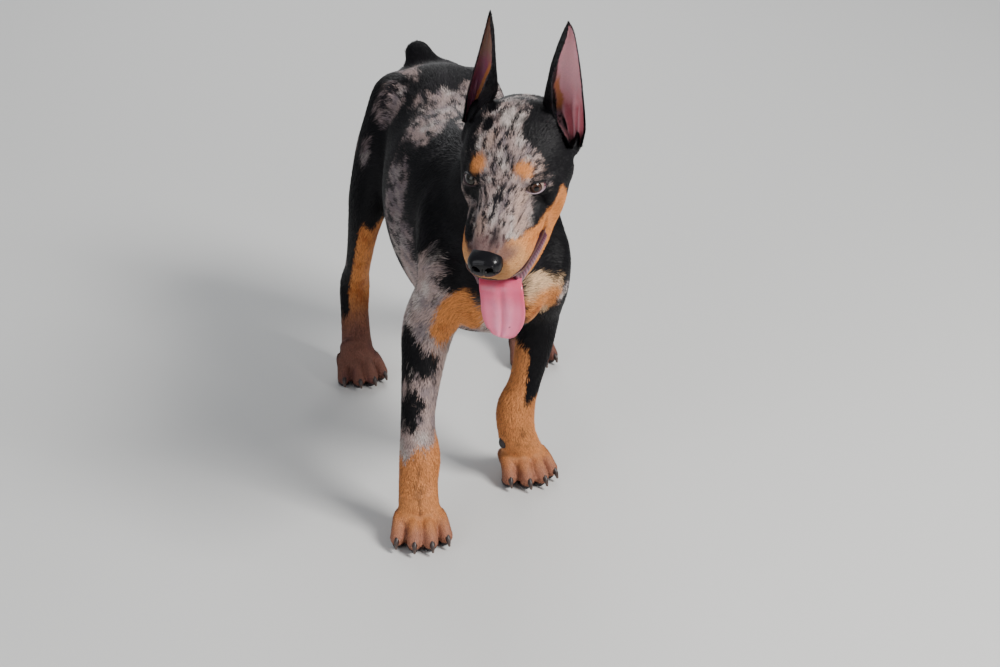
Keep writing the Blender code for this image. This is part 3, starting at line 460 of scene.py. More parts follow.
# The ears stand on the head as two curved sheets, laid through rows of places in millimetres from under the
# notch up to the tip. Across a row: front rim, roll towards the middle of the head, back of the cup, its
# outer side, hind rim
EAR_ROWS = {
    1: (
        ((51, 64, -4), (45, 69, -10), (46.5, 75, -16), (51.5, 76, -16), (56, 70, -9)),
        ((53.6, 57.8, 0.1), (46.3, 68, -9.2), (48.8, 74, -12.7), (56.1, 73, -11.2), (61.6, 64, -1.8)),
        ((46, 58.8, 18.8), (33.9, 76, 5.9), (40.7, 85, 2.8), (57.1, 83, 2.1), (65.6, 70, 11.2)),
        ((36.3, 70, 31.2), (22.5, 90, 18.6), (32.8, 99, 14.6), (56, 94, 16.9), (65.5, 76, 28.8)),
        ((36, 73, 49.8), (25.4, 85, 39.2), (34, 102, 37.4), (54.3, 100, 36.9), (64.6, 80, 46.5)),
        ((35.9, 79, 65.9), (30.4, 86, 59.8), (37.4, 103, 56.7), (54.7, 101, 57.2), (63.3, 85, 63.3)),
        ((41.7, 86.5, 83.5), (35.4, 90.5, 79.9), (42, 103, 76.6), (55.2, 101.5, 77.6), (61.2, 90.5, 81.9)),
        ((50.4, 94.5, 108), (45, 96.5, 106), (48.9, 103.5, 103.3), (54.9, 101.5, 105.3), (57.5, 96.5, 107)),
        ((52.1, 99.5, 120.9),) * 5,
    ),
    -1: (
        ((-42, 68, 14), (-39, 75, 8), (-45, 80, 4), (-50, 79, 3), (-50, 72, 8)),
        ((-46.1, 64.5, 18.5), (-40.1, 73, 13.3), (-47.8, 79, 10.2), (-54.6, 77, 8.7), (-54.2, 69, 14.1)),
        ((-40.3, 67.5, 31.6), (-33.6, 83, 22.1), (-43.7, 91, 18.4), (-54.4, 88, 16.2), (-53.9, 74, 25.1)),
        ((-36, 72.5, 45.4), (-24.6, 88, 38.6), (-39, 98.5, 31.6), (-51.5, 95, 29.6), (-51.4, 79, 38.9)),
        ((-29.5, 77.5, 61.7), (-21.8, 85.5, 54.7), (-35.3, 100, 50.7), (-46.1, 97.5, 48.1),
         (-46.3, 82.5, 56.4)),
        ((-23.5, 81.5, 76.2), (-21.6, 87, 72), (-33.5, 100, 68.2), (-41.4, 98, 65.4), (-41.5, 86, 71.2)),
        ((-22.3, 87.5, 97.1), (-21.1, 90.5, 94.9), (-29.1, 100, 91.7), (-34.4, 98.5, 90),
         (-34.1, 90.5, 93.9)),
        ((-23, 92, 114), (-20.9, 93.5, 113), (-26.2, 100, 110), (-28.9, 98.5, 109.8), (-28.6, 94, 112)),
        ((-22.6, 96, 131.8),) * 5,
    ),
}


SHEET_TALL, SHEET_WIDE = 241, 161


def ear_sheet(sign):
    """Cubics through the rows up the ear, then through the columns round it; the way out is across both."""
    rows = 0.001 * np.array(EAR_ROWS[sign])
    tall = smooth_rows(rows.reshape(9, 15), SHEET_TALL).reshape(SHEET_TALL, 5, 3)
    columns = smooth_rows(tall.transpose(1, 0, 2).reshape(5, 3 * SHEET_TALL), SHEET_WIDE)
    wide = columns.reshape(SHEET_WIDE, SHEET_TALL, 3).transpose(1, 0, 2)
    out = -sign * np.cross(np.gradient(wide, axis=1), np.gradient(wide, axis=0))
    return np.concatenate([wide, unit(out + 1e-12)], 2)


EAR_SHEETS = {sign: ear_sheet(sign) for sign in SIDES}


# In front of an ear's foot the skin sinks behind its sheet, so that the cup stands open down to its notch.
# Middle of that oval, its lean, half its height, half its width, and a place on the floor beside the sheet
VIEW_OF_CUPS = np.array([0.226, -0.724, 0.652])
SIGHT = 0.045               # how far off the ear is looked for
EAR_HOLLOWS = {
    1: ((0.052, 0.074, 0.047), (0.16, 1.0), 0.042, 0.012, (0.043, 0.08, 0.0)),
    -1: ((-0.0335, 0.08, 0.068), (-0.25, 1.0), 0.047, 0.0076, (-0.044, 0.088, 0.018)),
}


def hollow_share(points, sign):
    """How far out a point lies in the oval hollow under an ear, seen from the front: 1 on its edge."""
    middle, lean, tall, wide, _ = EAR_HOLLOWS[sign]
    right = np.cross([0, 0, 1], VIEW_OF_CUPS)
    right /= -np.linalg.norm(right)
    down = np.cross(right, VIEW_OF_CUPS)
    down *= -np.sign(down[2]) / np.linalg.norm(down)
    along = (lean[0] * right + lean[1] * down) / math.hypot(*lean)
    across = np.cross(along, VIEW_OF_CUPS)
    across /= np.linalg.norm(across)
    off = points - np.array(middle)
    share = np.hypot(off @ along / tall, off @ across / wide)
    return np.where((points[:, 1] > 0.04) & (points[:, 0] * sign > 0.012), share, 9.0)


def sunk_behind(points, sign):
    """Way along the line of sight to 1.8 mm behind the ear's last layer, or to the floor beside the ear."""
    sheet = EAR_SHEETS[sign][::3, ::4, :3]
    tall, wide = sheet.shape[:2]
    corner = (np.arange(tall - 1)[:, None] * wide + np.arange(wide - 1)).ravel()
    quads = corner[:, None] + np.array([0, 1, wide + 1, wide])
    tree = BVHTree.FromPolygons(sheet.reshape(-1, 3).tolist(), quads.tolist())
    away = Vector(-VIEW_OF_CUPS).normalized()
    beside = np.clip((points - np.array(EAR_HOLLOWS[sign][4])) @ VIEW_OF_CUPS + 0.006, 0, 0.036)
    beside = beside * eased(np.abs(points[:, 0]), 0.044, 0.05)
    sunk = []
    for point, floor in zip(points, beside):
        start, far = Vector(point) - 0.002 * away, None
        place = tree.ray_cast(start, away, SIGHT)[0]
        while place is not None:
            far = (place - start).length
            place = tree.ray_cast(place + 0.0004 * away, away, 0.03)[0]
        behind = tree.ray_cast(start, -away, SIGHT)[0]
        sunk.append(far - 0.0002 if far is not None else 0.0 if behind is not None else floor)
    return np.array(sunk)


cup_depth = np.zeros(len(head_full))
for sign in SIDES:
    share = hollow_share(head_full, sign)
    under = np.flatnonzero(share < 1.2)
    cup_depth[under] = sunk_behind(head_full[under], sign) * (1 - eased(share[under], 0.95, 1.2))
cup_depth = relaxed(cup_depth[:, None], head_edges, 4)[:, 0]
head_local = head_local - VIEW_OF_CUPS * cup_depth[:, None]
head_points = to_body(head_local)


# The skins of head and trunk run on under each other at the neck, and those of leg and paw above the foot
def dives(points, normals, past, depth=0.004, over=0.008):
    """Sinks the skin along its normals, eased in over a short way past a plane."""
    return points - normals * (depth * eased(past, 0, over))[:, None]


def neck_height(points):
    """Distance past the plane between the neck and the head, positive towards the head."""
    return (points - NECK_PLANE[0]) @ NECK_PLANE[1]


head_normals = normals_of(head_points, head_quads)
head_points = dives(head_points, head_normals, -neck_height(head_points))
inset = PAW_COAT + (BODY_COAT - PAW_COAT) * eased(body_points[:, 2], 0.06, 0.13)
body_points = body_points - body_normals * inset[:, None]
body_points = dives(body_points, body_normals, neck_height(body_points))
body_points = dives(body_points, body_normals, PAW_TOP - body_points[:, 2])


# Feet
# Each paw has four toes round a pad, with the pastern bulging behind them. One thin skin is drawn over each
# whole paw and the lowest part of its leg.
# Place on the floor, degrees of turn, size, leg above
PAWS = {
    "forepaw_right": ((-0.0865, -0.186), -4.0, 1.0, "foreleg_right"),
    "forepaw_left": ((0.05, -0.07), 14.0, 1.0, "foreleg_left"),
    "hindpaw_right": ((-0.0915, 0.205), 10.0, 0.94, "hindleg_right"),
    "hindpaw_left": ((0.12, 0.218), 8.0, 0.92, "hindleg_left"),
}
# Toes: distance off the middle and ahead
TOES = ((-0.0198, -0.005), (-0.0068, 0.0055), (0.0068, 0.0055), (0.0198, -0.005))
TOE_FAN = 700.0             # degrees of turn for each metre off the middle
# Forward, height, half width, half depth
TOE = (
    (-0.012, 0.024, 0.007, 0.0076), (0.003, 0.0262, 0.008, 0.009), (0.013, 0.0222, 0.0078, 0.0086),
    (0.0215, 0.012, 0.0084, 0.0105),
)
HEEL_PAD = ((-0.02, 0.011, 0.018, 0.0125), (-0.004, 0.0115, 0.0245, 0.014), (0.01, 0.012, 0.021, 0.0125))
PASTERN = ((-0.014, 0.042, 0.0195, 0.015), (-0.003, 0.032, 0.0238, 0.014), (0.008, 0.0245, 0.0255, 0.01))


def foot_rows(profile):
    """Limb rows of a toe or a pad, given by distance forward, height, half width and half depth."""
    forward, height, half, depth = np.asarray(profile, float).T
    return np.stack([0 * forward, -forward, height, half, depth, depth], 1)


def turned(points, degrees):
    """Rotation about the upright axis: x cos - y sin, x sin + y cos."""
    c, s = math.cos(math.radians(degrees)), math.sin(math.radians(degrees))
    return points @ np.array([[c, s, 0], [-s, c, 0], [0, 0, 1]])


def on_foot(points, paw, toe=None):
    """Carries points of a toe, or of the whole foot, to where the foot stands."""
    (x, y), heading, size, _ = PAWS[paw]
    if toe is not None:
        offset, ahead = TOES[toe]
        points = turned(points, TOE_FAN * offset) + np.array([offset, -ahead, 0])
    return turned(points * size, heading) + np.array([x, y, 0])


paw_points, paw_quads = [], []
for paw in PAWS:
    grids = [
        on_foot(limb(foot_rows(HEEL_PAD), 14, 28), paw),
        on_foot(limb(foot_rows(PASTERN), 14, 28, 2.3, 0.6), paw),
        limb(LEGS[PAWS[paw][3]][-4:], 20, 28),
    ]
    grids += [on_foot(limb(foot_rows(TOE), 16, 24), paw, toe) for toe in range(4)]
    points, quads = drawn_over(paw, grids, HEAD_VOXEL)
    points = relaxed(points, quad_edges(quads), 5)
    normals = normals_of(points, quads)
    points = dives(points - normals * PAW_COAT, normals, points[:, 2] - PAW_TOP)
    points[:, 2] = np.maximum(points[:, 2], 0.0004)
    paw_quads.append(quads + sum(len(more) for more in paw_points))
    paw_points.append(points)
paw_points, paw_quads = np.vstack(paw_points), np.vstack(paw_quads)


# Markings
# A black and tan coat that the merle gene has bleached in patches to a pinkish grey with ragged black
# flecks. The same rule colours the skin and each tuft, from places on the body and lattice noise.
def tone(red, green, blue):
    """A colour as a screen gives it, 0 to 255, in linear light."""
    value = np.array([red, green, blue]) / 255.0
    return np.where(value > 0.04045, ((value + 0.055) / 1.055) ** 2.4, value / 12.92)


BLACK, SOFT_BLACK = tone(15, 14, 17), tone(30, 27, 31)
GREY, PALE, PINK_GREY = tone(124, 113, 118), tone(196, 184, 178), tone(172, 150, 144)
TAN, DEEP_TAN, BUFF, CREAM = tone(212, 136, 74), tone(170, 96, 48), tone(214, 160, 108), tone(222, 196, 160)
MAUVE, TOE_MAUVE, HIND_MAUVE_AND_SHADE, LEG_TAN, MERLE_SHADE = (
    tone(112, 80, 78), tone(168, 116, 102), tone(106, 76, 80), tone(210, 138, 84), tone(98, 86, 92))
LATTICE_SIDE = 29
LATTICE = np.random.default_rng(11).random((LATTICE_SIDE, LATTICE_SIDE, LATTICE_SIDE))
STREAKS = [1.0, 0.36, 1.0]      # draws noise out along the second axis


def drift(points, size, start=0.0):
    """Value noise from -1 to 1: random numbers on a cubic lattice, eased between its eight corners."""
    place = points / size + start
    cell = np.floor(place).astype(int)
    part = place - cell
    part = part * part * (3 - 2 * part)
    total = np.zeros(len(points))
    for corner in np.ndindex(2, 2, 2):
        weight = np.prod(np.where(corner, part, 1 - part), axis=1)
        i, j, k = ((cell + corner) % LATTICE_SIDE).T
        total += weight * LATTICE[i, j, k]
    return 2 * total - 1


def ragged(points, size, start=0.0):
    """Three sizes of the noise on top of each other, each half as large and half as strong."""
    return sum(drift(points, size / 2**k, start + 7.3 * k) / 2**k for k in range(3)) / 1.3


def laid(under, over, share):
    """One colour over another, by a share between 0 and 1."""
    return under + (over - under) * np.clip(share, 0, 1)[:, None]


def spot(points, place, reach, torn=0.0, edge=0.22):
    """1 inside an ellipsoid and 0 outside, eased over its edge, which the noise tears."""
    far = np.linalg.norm((points - np.array(place)) / np.array(reach), axis=1) + torn
    return 1 - eased(far, 1 - edge, 1 + edge)


def spotted(under, over, points, spots, torn, edge, share=1.0):
    """One colour over another in each of these spots, in turn."""
    for place, reach in spots:
        under = laid(under, over, share * spot(points, place, reach, torn, edge))
    return under


def bleached(points, size, start):
    """Hair bleached by the merle gene: pale and pinkish clouds, with streaks of grey."""
    colour = laid(PINK_GREY, PALE, eased(ragged(points, 4 * size, start), -0.1, 0.5))
    return laid(colour, GREY, 0.8 * eased(ragged(points * STREAKS, 1.5 * size, start + 3), 0.0, 0.5))


def flecked(colour, points, size, start, amount=0.0, soft=0.2):
    """Drawn-out flecks of black over a colour, which crowd in clouds."""
    crowd = amount + 0.42 * ragged(points, 3.5 * size, start + 6)
    fleck = eased(ragged(points * STREAKS, size, start + 9) + crowd, 0.2 - soft / 2, 0.2 + soft / 2)
    return laid(colour, SOFT_BLACK, fleck * (0.8 + 0.25 * eased(crowd, -0.1, 0.2)))


# Head: brow spots, tan muzzle, cheek and chin, merle forehead and bridge between black sides. Edges: distance
# back, then half the width of the merle or the height of the tan; patches: place and reach
MERLE_EDGE_LEFT = (
    (-0.09, 0.01), (-0.07, 0.019), (-0.05, 0.026), (-0.02, 0.03), (-0.004, 0.027), (0.006, 0.037),
    (0.016, 0.034), (0.03, 0.017), (0.05, 0.011), (0.07, 0.02), (0.09, 0.018), (0.108, 0.0),
)
MERLE_EDGE_RIGHT = (
    (-0.09, 0.012), (-0.07, 0.018), (-0.04, 0.021), (-0.01, 0.018), (0.01, 0.027), (0.03, 0.033),
    (0.05, 0.028), (0.07, 0.029), (0.09, 0.018), (0.108, 0.0),
)
TAN_EDGE_LEFT = (
    (-0.095, -0.01), (-0.07, -0.014), (-0.047, -0.0215), (-0.02, -0.03), (-0.004, -0.0335), (0.012, -0.019),
    (0.02, -0.0165), (0.032, -0.033), (0.044, -0.056), (0.056, -0.095),
)
TAN_EDGE_RIGHT = (
    (-0.095, -0.018), (-0.07, -0.024), (-0.047, -0.03), (-0.02, -0.037), (-0.004, -0.04), (0.012, -0.034),
    (0.02, -0.033), (0.032, -0.043), (0.044, -0.062), (0.056, -0.095),
)
HEAD_BLACKS = (
    ((0.021, 0.042, 0.031), (0.0125, 0.014, 0.012)), ((0.019, 0.064, 0.032), (0.005, 0.015, 0.008)),
    ((0.017, 0.084, 0.031), (0.013, 0.008, 0.008)), ((-0.025, 0.074, 0.031), (0.005, 0.011, 0.008)),
    ((0.0385, -0.003, -0.021), (0.0115, 0.0125, 0.0105)),
    ((0.035, -0.016, -0.028), (0.0085, 0.0125, 0.009)), ((-0.024, 0.046, 0.031), (0.006, 0.011, 0.008)),
    ((-0.031, -0.012, -0.008), (0.008, 0.013, 0.011)), ((-0.033, -0.002, -0.013), (0.007, 0.01, 0.008)),
    ((0.0012, 0.042, 0.033), (0.0008, 0.016, 0.006)), ((0.0035, 0.06, 0.0345), (0.001, 0.012, 0.006)),
)
HEAD_PALES = (
    ((0.006, 0.049, 0.0335), (0.0055, 0.012, 0.006)), ((-0.006, 0.054, 0.0345), (0.006, 0.013, 0.006)),
    ((-0.002, -0.042, -0.001), (0.005, 0.024, 0.008)), ((0.012, 0.03, 0.03), (0.0045, 0.012, 0.007)),
)
HEAD_BEIGES = (
    ((0.034, 0.011, 0.011), (0.008, 0.008, 0.008)), ((0.021, -0.02, -0.004), (0.008, 0.019, 0.009)),
    ((0.023, -0.04, -0.016), (0.008, 0.015, 0.008)), ((-0.015, -0.056, -0.008), (0.01, 0.015, 0.008)),
    ((-0.017, 0.026, 0.025), (0.007, 0.012, 0.009)),
)
BEIGE, BROW_TAN, BROW_SPOTS = tone(186, 154, 138), tone(228, 148, 84), (
    ((0.019, 0.0015, 0.014), (0.0085, 0.008, 0.008)), ((-0.025, 0.007, 0.014), (0.008, 0.0095, 0.008)),
)


def head_markings(points):
    """Colours of head points in the head's axes: each rule is laid over those before it."""
    x, y, z = points.T
    fine, torn = ragged(points, 0.003, 2.0), ragged(points, 0.011, 5.0)
    colour = laid(BLACK, SOFT_BLACK, 0.7 * eased(torn, 0.0, 0.7))
    reach = np.where(x > 0, np.interp(y, *zip(*MERLE_EDGE_LEFT)), np.interp(y, *zip(*MERLE_EDGE_RIGHT)))
    band = np.abs(x) / np.maximum(reach, 1e-4)
    on_top = eased(z, -0.03, -0.02) * (1 - eased(band + 0.22 * torn + 0.2 * fine, 0.86, 1.14))
    mottle = bleached(points, 0.0026, 1.0)
    mottle = spotted(mottle, BEIGE, points, HEAD_BEIGES, 0.2 * torn + 0.3 * fine, 0.5, 0.65)
    mottle = spotted(mottle, PALE, points, HEAD_PALES, 0.2 * torn + 0.35 * fine, 0.35, 0.75)
    centre_flecks = 0.2 * hump(x - 0.004, 0.0075) * eased(y, -0.06, -0.03) * (1 - eased(y, 0.02, 0.04))
    crown_flecks = 0.1 * eased(y, 0.05, 0.07) - 0.16 * eased(x, 0.01, 0.02) * (y < -0.004) * (y > -0.05)
    forehead = flecked(mottle, points, 0.0021, 1.0, 0.02 + centre_flecks + crown_flecks, 0.26)
    colour = laid(colour, forehead, on_top)
    colour = spotted(colour, PALE, points, HEAD_PALES[:2], 0.2 * torn + 0.35 * fine, 0.3, 0.55 * on_top)
    side_grey = eased(ragged(points, 0.018, 14.0), 0.1, 0.3) * (x < 0) * (y < 0.03) * (z < 0.0)
    cheek = flecked(bleached(points, 0.0024, 4.0), points, 0.0024, 4.0, 0.2)
    colour = laid(colour, cheek, 0.7 * side_grey * (1 - on_top))
    colour = spotted(colour, BLACK, points, HEAD_BLACKS, 0.22 * torn + 0.26 * fine, 0.2)
    for sign, outer in ((1, 1.55), (-1, 1.8)):
        middle, _, corners, upward = eye_axes(sign)
        height = (points - middle) @ upward + 0.1 * ((points - middle) @ corners)
        over = eased(height, -0.001, 0.003) if sign > 0 else 1.0
        share = opening_share(points, sign) + 0.1 * fine
        colour = laid(colour, BLACK, over * (1 - eased(share, 1.25, outer)))
    left = eased(x, -0.004, 0.004)
    edge = left * np.interp(y, *zip(*TAN_EDGE_LEFT)) + (1 - left) * np.interp(y, *zip(*TAN_EDGE_RIGHT))
    tan = eased(edge - z + 0.0034 * torn + 0.0024 * fine, -0.0014, 0.002)
    muzzle = laid(TAN, DEEP_TAN, 0.7 * eased(torn + fine, 0.2, 1.0))
    muzzle = laid(muzzle, BUFF, eased(-y, 0.045, 0.075) * 0.9)
    muzzle = laid(muzzle, MAUVE, 0.45 * eased(-y, 0.066, 0.08) * eased(z, -0.032, -0.02))
    muzzle = laid(muzzle, DEEP_TAN, 0.55 * eased(ragged(points * [1.0, 0.5, 1.0], 0.0016, 8.0), 0.3, 0.55))
    colour = laid(colour, muzzle, tan)
    snout = eased(-y, 0.058, 0.074) * eased(z, -0.03, -0.022)
    colour = laid(colour, MAUVE, 0.75 * snout)
    for place, size in BROW_SPOTS:
        glow = spot(points, place, size, 0.16 * torn + 0.4 * fine, 0.45)
        colour = laid(colour, laid(TAN, BROW_TAN, eased(fine, -0.4, 0.4)), 0.95 * glow)
    streak = spot(points, (0.005, -0.068, -0.0095), (0.0045, 0.014, 0.0065), 0.5 * fine, 0.5)
    return laid(colour, SOFT_BLACK, 0.65 * streak)


# Trunk and limbs: place and reach of the bleached patches, of the tan patches and of black blotches
MERLE_PATCHES = (
    ((-0.012, 0.07, 0.39), (0.036, 0.048, 0.05)), ((-0.04, 0.028, 0.385), (0.022, 0.04, 0.04)),
    ((-0.03, 0.205, 0.395), (0.01, 0.05, 0.04)), ((-0.056, 0.15, 0.362), (0.016, 0.03, 0.03)),
    ((-0.08, -0.004, 0.31), (0.02, 0.04, 0.06)), ((-0.074, -0.05, 0.262), (0.024, 0.03, 0.05)),
    ((-0.066, -0.165, 0.275), (0.026, 0.04, 0.04)), ((-0.074, -0.15, 0.235), (0.026, 0.04, 0.03)),
    ((0.082, 0.04, 0.3), (0.022, 0.046, 0.05)), ((0.06, 0.15, 0.35), (0.024, 0.036, 0.032)),
    ((0.07, -0.15, 0.262), (0.012, 0.022, 0.02)), ((0.03, 0.1, 0.394), (0.022, 0.03, 0.03)),
    ((0.072, -0.07, 0.33), (0.018, 0.024, 0.03)),
)
TAN_PATCHES = (
    ((0.042, -0.17, 0.259), (0.031, 0.05, 0.029)), ((-0.037, -0.182, 0.254), (0.024, 0.036, 0.024)),
    ((-0.054, -0.152, 0.228), (0.014, 0.022, 0.03)), ((0.0, 0.262, 0.338), (0.019, 0.022, 0.013)),
    ((0.026, -0.19, 0.281), (0.016, 0.03, 0.02)),
)
BLACK_BLOTCHES = (
    ((-0.098, -0.134, 0.206), (0.02, 0.032, 0.024)), ((-0.076, -0.146, 0.19), (0.016, 0.022, 0.01)),
    ((-0.094, -0.16, 0.14), (0.016, 0.024, 0.018)), ((-0.084, -0.166, 0.152), (0.008, 0.014, 0.006)),
    ((-0.046, -0.175, 0.293), (0.02, 0.03, 0.013)), ((-0.102, -0.12, 0.19), (0.014, 0.03, 0.03)),
    ((-0.092, -0.16, 0.124), (0.008, 0.012, 0.008)),
)


def leg_sides(points):
    """For points on the legs: the nearest leg, and how far inwards and forwards they lie on its round."""
    best = np.full(len(points), 9.0)
    which, inner, front = np.zeros(len(points), int), np.zeros(len(points)), np.zeros(len(points))
    for number, knots in enumerate(LEGS.values()):
        rows = np.array(knots)[::-1]
        cx, cy, half = (np.interp(points[:, 2], rows[:, 2], rows[:, k]) for k in (0, 1, 3))
        ox, oy = (points[:, 0] - cx) / half, (points[:, 1] - cy) / half
        far = np.hypot(ox, oy)
        closer = far < best
        best = np.where(closer, far, best)
        which = np.where(closer, number, which)
        inner = np.where(closer, -np.sign(cx) * ox / np.maximum(far, 0.5), inner)
        front = np.where(closer, -oy / np.maximum(far, 0.5), front)
    return which, inner, front


def body_markings(points):
    """Colours of trunk and limb points: each rule is laid over those before it."""
    x, y, z = points.T
    fine, torn = ragged(points, 0.006, 2.0), ragged(points, 0.018, 5.0)
    rough = 0.26 * torn + 0.18 * fine + 0.24 * drift(points, 0.045, 3.0)
    colour = laid(BLACK, SOFT_BLACK, eased(torn, 0.0, 0.8))
    patch = eased(ragged(points, 0.052, 21.0), 0.42, 0.5) * (y > -0.03)
    rougher = rough * (1 + 0.9 * eased(x, 0.02, 0.05))
    for place, reach in MERLE_PATCHES:
        patch = np.maximum(patch, spot(points, place, reach, rougher, 0.12))
    which, inner, front = leg_sides(points)
    fore_right = (which == 0) * (1 - eased(z, 0.245, 0.285))
    patch = np.maximum(patch, fore_right * eased(front - 0.3 * inner + 0.4 * torn, -0.45, -0.25))
    patch = patch * (1 - eased(y, 0.195, 0.212) * (z > 0.33))
    plain = np.maximum(fore_right, spot(points, (-0.07, -0.16, 0.26), (0.04, 0.05, 0.06)))
    # Painted shade: the merle is dulled from behind the chest backwards, less on the lit top of the back
    merle_shading = (0.65 - 0.5 * eased(z, 0.345, 0.385)) * (1 - plain) * eased(y, -0.13, -0.1)
    mottle = laid(bleached(points, 0.005, 31.0), MERLE_SHADE, merle_shading)
    colour = laid(colour, flecked(mottle, points, 0.0042, 31.0, 0.1 - 0.4 * plain, 0.36), patch)
    broken = 1.7 * rough + 0.45 * ragged(points * [1.0, 1.0, 0.5], 0.004, 9.0)
    colour = spotted(colour, BLACK, points, BLACK_BLOTCHES, broken, 0.2)
    tan = np.zeros(len(points))
    for place, reach in TAN_PATCHES:
        tan = np.maximum(tan, spot(points, place, reach, rough, 0.16))
    ramp = 0.014 * torn + 0.01 * fine
    hind_height = 0.07 + 0.165 * eased(inner + front, 0.15, 0.75)
    left_height = 0.104 + 0.075 * eased(inner + 0.25 * front, 0.1, 0.8)
    heights = (0.101 + 0.01 * inner, left_height, hind_height, hind_height)
    for number, height in enumerate(heights):
        on_leg = (y > 0.135) if number > 1 else (y < 0.0)
        tan = np.maximum(tan, (which == number) * on_leg * eased(height - z + ramp, -0.002, 0.003))
    warm = laid(TAN, DEEP_TAN, eased(torn + 0.5 * fine, 0.0, 0.8))
    pale_edge = np.maximum(eased(z + 0.01 * torn, 0.262, 0.28), 1 - eased(z + 0.01 * torn, 0.232, 0.242))
    warm = laid(warm, CREAM, 0.75 * pale_edge * (y < -0.1) * (z > 0.2) * eased(x, -0.01, 0.01))
    warm = laid(warm, LEG_TAN, 0.8 * (z < 0.21) * (y < 0.1))
    warm = laid(warm, TOE_MAUVE, 0.75 * (y < 0.1) * (1 - eased(z + 0.006 * torn, 0.016, 0.036)))
    # The lower hind legs turn dark mauve: partly their own colour, partly painted shade under the body
    warm = laid(warm, HIND_MAUVE_AND_SHADE, 0.8 * (y > 0.1) * (1 - eased(z + 0.014 * torn, 0.05, 0.12)))
    colour = laid(colour, warm, tan)
    streak = hump(x + 0.088, 0.006) * (y < -0.12) * (z < 0.1) * (z > 0.035)
    smudge = spot(points, (0.045, -0.094, 0.062), (0.01, 0.012, 0.014), 0.3 * fine, 0.5)
    stipple = np.maximum(streak, smudge) * eased(ragged(points * [1, 1, 0.5], 0.0035, 40.0), -0.15, 0.35)
    return laid(colour, SOFT_BLACK, 0.6 * stipple)


# The skin itself is hidden nearly everywhere; under the tufts it carries their colours, darkened as painted
# shade deep in the coat, and a fine grain
def hair_grain():
    """Node group: fine streaks of height and of shade, from noise on the piece's own coordinates."""
    group = bpy.data.node_groups.new("Hair grain", "ShaderNodeTree")
    for label in ("Size", "Contrast"):
        group.interface.new_socket(label, in_out="INPUT", socket_type="NodeSocketFloat")
    for label in ("Shade", "Height"):
        group.interface.new_socket(label, in_out="OUTPUT", socket_type="NodeSocketFloat")
    nodes, links = group.nodes, group.links
    given, given_back = nodes.new("NodeGroupInput"), nodes.new("NodeGroupOutput")
    place = nodes.new("ShaderNodeTexCoord")
    noise = nodes.new("ShaderNodeTexNoise")
    noise.inputs["Detail"].default_value = 3.0
    spread = nodes.new("ShaderNodeMapRange")
    spread.inputs["From Min"].default_value, spread.inputs["From Max"].default_value = 0.3, 0.7
    low = nodes.new("ShaderNodeMath")
    low.operation, low.inputs[0].default_value = "SUBTRACT", 1.0
    links.new(place.outputs["Object"], noise.inputs["Vector"])
    links.new(given.outputs["Size"], noise.inputs["Scale"])
    links.new(noise.outputs["Fac"], spread.inputs["Value"])
    links.new(given.outputs["Contrast"], low.inputs[1])
    links.new(low.outputs["Value"], spread.inputs["To Min"])
    spread.inputs["To Max"].default_value = 1.0
    links.new(spread.outputs["Result"], given_back.inputs["Shade"])
    links.new(noise.outputs["Fac"], given_back.inputs["Height"])
    return group


HAIR_GRAIN = hair_grain()


def painted(name, roughness, grain_size, contrast, bump, **sockets):
    """A finish that the piece's own "colour" attribute colours and the hair grain shades and roughens."""
    made = bpy.data.materials.new(name)
    made.use_nodes = True
    nodes, links = made.node_tree.nodes, made.node_tree.links
    shader = nodes["Principled BSDF"]
    for label, value in {"Roughness": roughness, **sockets}.items():
        shader.inputs[label.replace("_", " ")].default_value = value
    colour = nodes.new("ShaderNodeAttribute")
    colour.attribute_name = "colour"
    grain = nodes.new("ShaderNodeGroup")
    grain.node_tree = HAIR_GRAIN
    grain.inputs["Size"].default_value, grain.inputs["Contrast"].default_value = grain_size, contrast
    shaded = nodes.new("ShaderNodeMix")
    shaded.data_type, shaded.blend_type = "RGBA", "MULTIPLY"
    shaded.inputs["Factor"].default_value = 1.0
    links.new(colour.outputs["Color"], shaded.inputs["A"])
    links.new(grain.outputs["Shade"], shaded.inputs["B"])
    links.new(shaded.outputs["Result"], shader.inputs["Base Color"])
    if bump:
        raised = nodes.new("ShaderNodeBump")
        raised.inputs["Strength"].default_value, raised.inputs["Distance"].default_value = 0.6, bump
        links.new(grain.outputs["Height"], raised.inputs["Height"])
        links.new(raised.outputs["Normal"], shader.inputs["Normal"])
    return made


def coloured(thing, colours):
    """Stores a linear colour for each point of the mesh, or one for all of them."""
    attribute = thing.data.attributes.new("colour", "FLOAT_COLOR", "POINT")
    filled = np.ones((len(thing.data.vertices), 4))
    filled[:, :3] = colours
    attribute.data.foreach_set("color", filled.ravel())
    return thing


def thinned(thing, triangles):
    """Draws neighbouring points together, least change of form first, down to that many triangles."""
    draw = thing.modifiers.new("draw together", "DECIMATE")
    draw.ratio = triangles / (2 * len(thing.data.polygons))
    made = bpy.data.meshes.new_from_object(thing.evaluated_get(bpy.context.evaluated_depsgraph_get()))
    thing.modifiers.clear()
    dense, thing.data = thing.data, made
    bpy.data.meshes.remove(dense)
    return thing


def finished(thing, material, slot, *stands_for):
    """Gives a piece its finish, ties it to the body and lets it stand for nodes of the solids."""
    thing.data.materials.append(material)
    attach(thing, "root")
    if stands_for:
        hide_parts(*stands_for)
    return thing


def head_piece(name, points, faces, colours, material, slot, *stands_for):
    """A coloured and finished piece from points in the head's axes."""
    thing = coloured(new_piece(name, from_head(points), faces), colours)
    return finished(thing, material, slot, *stands_for)


SKIN = painted("Skin under the coat", 0.6, 900.0, 0.25, 0.0006, Specular_IOR_Level=0.2)
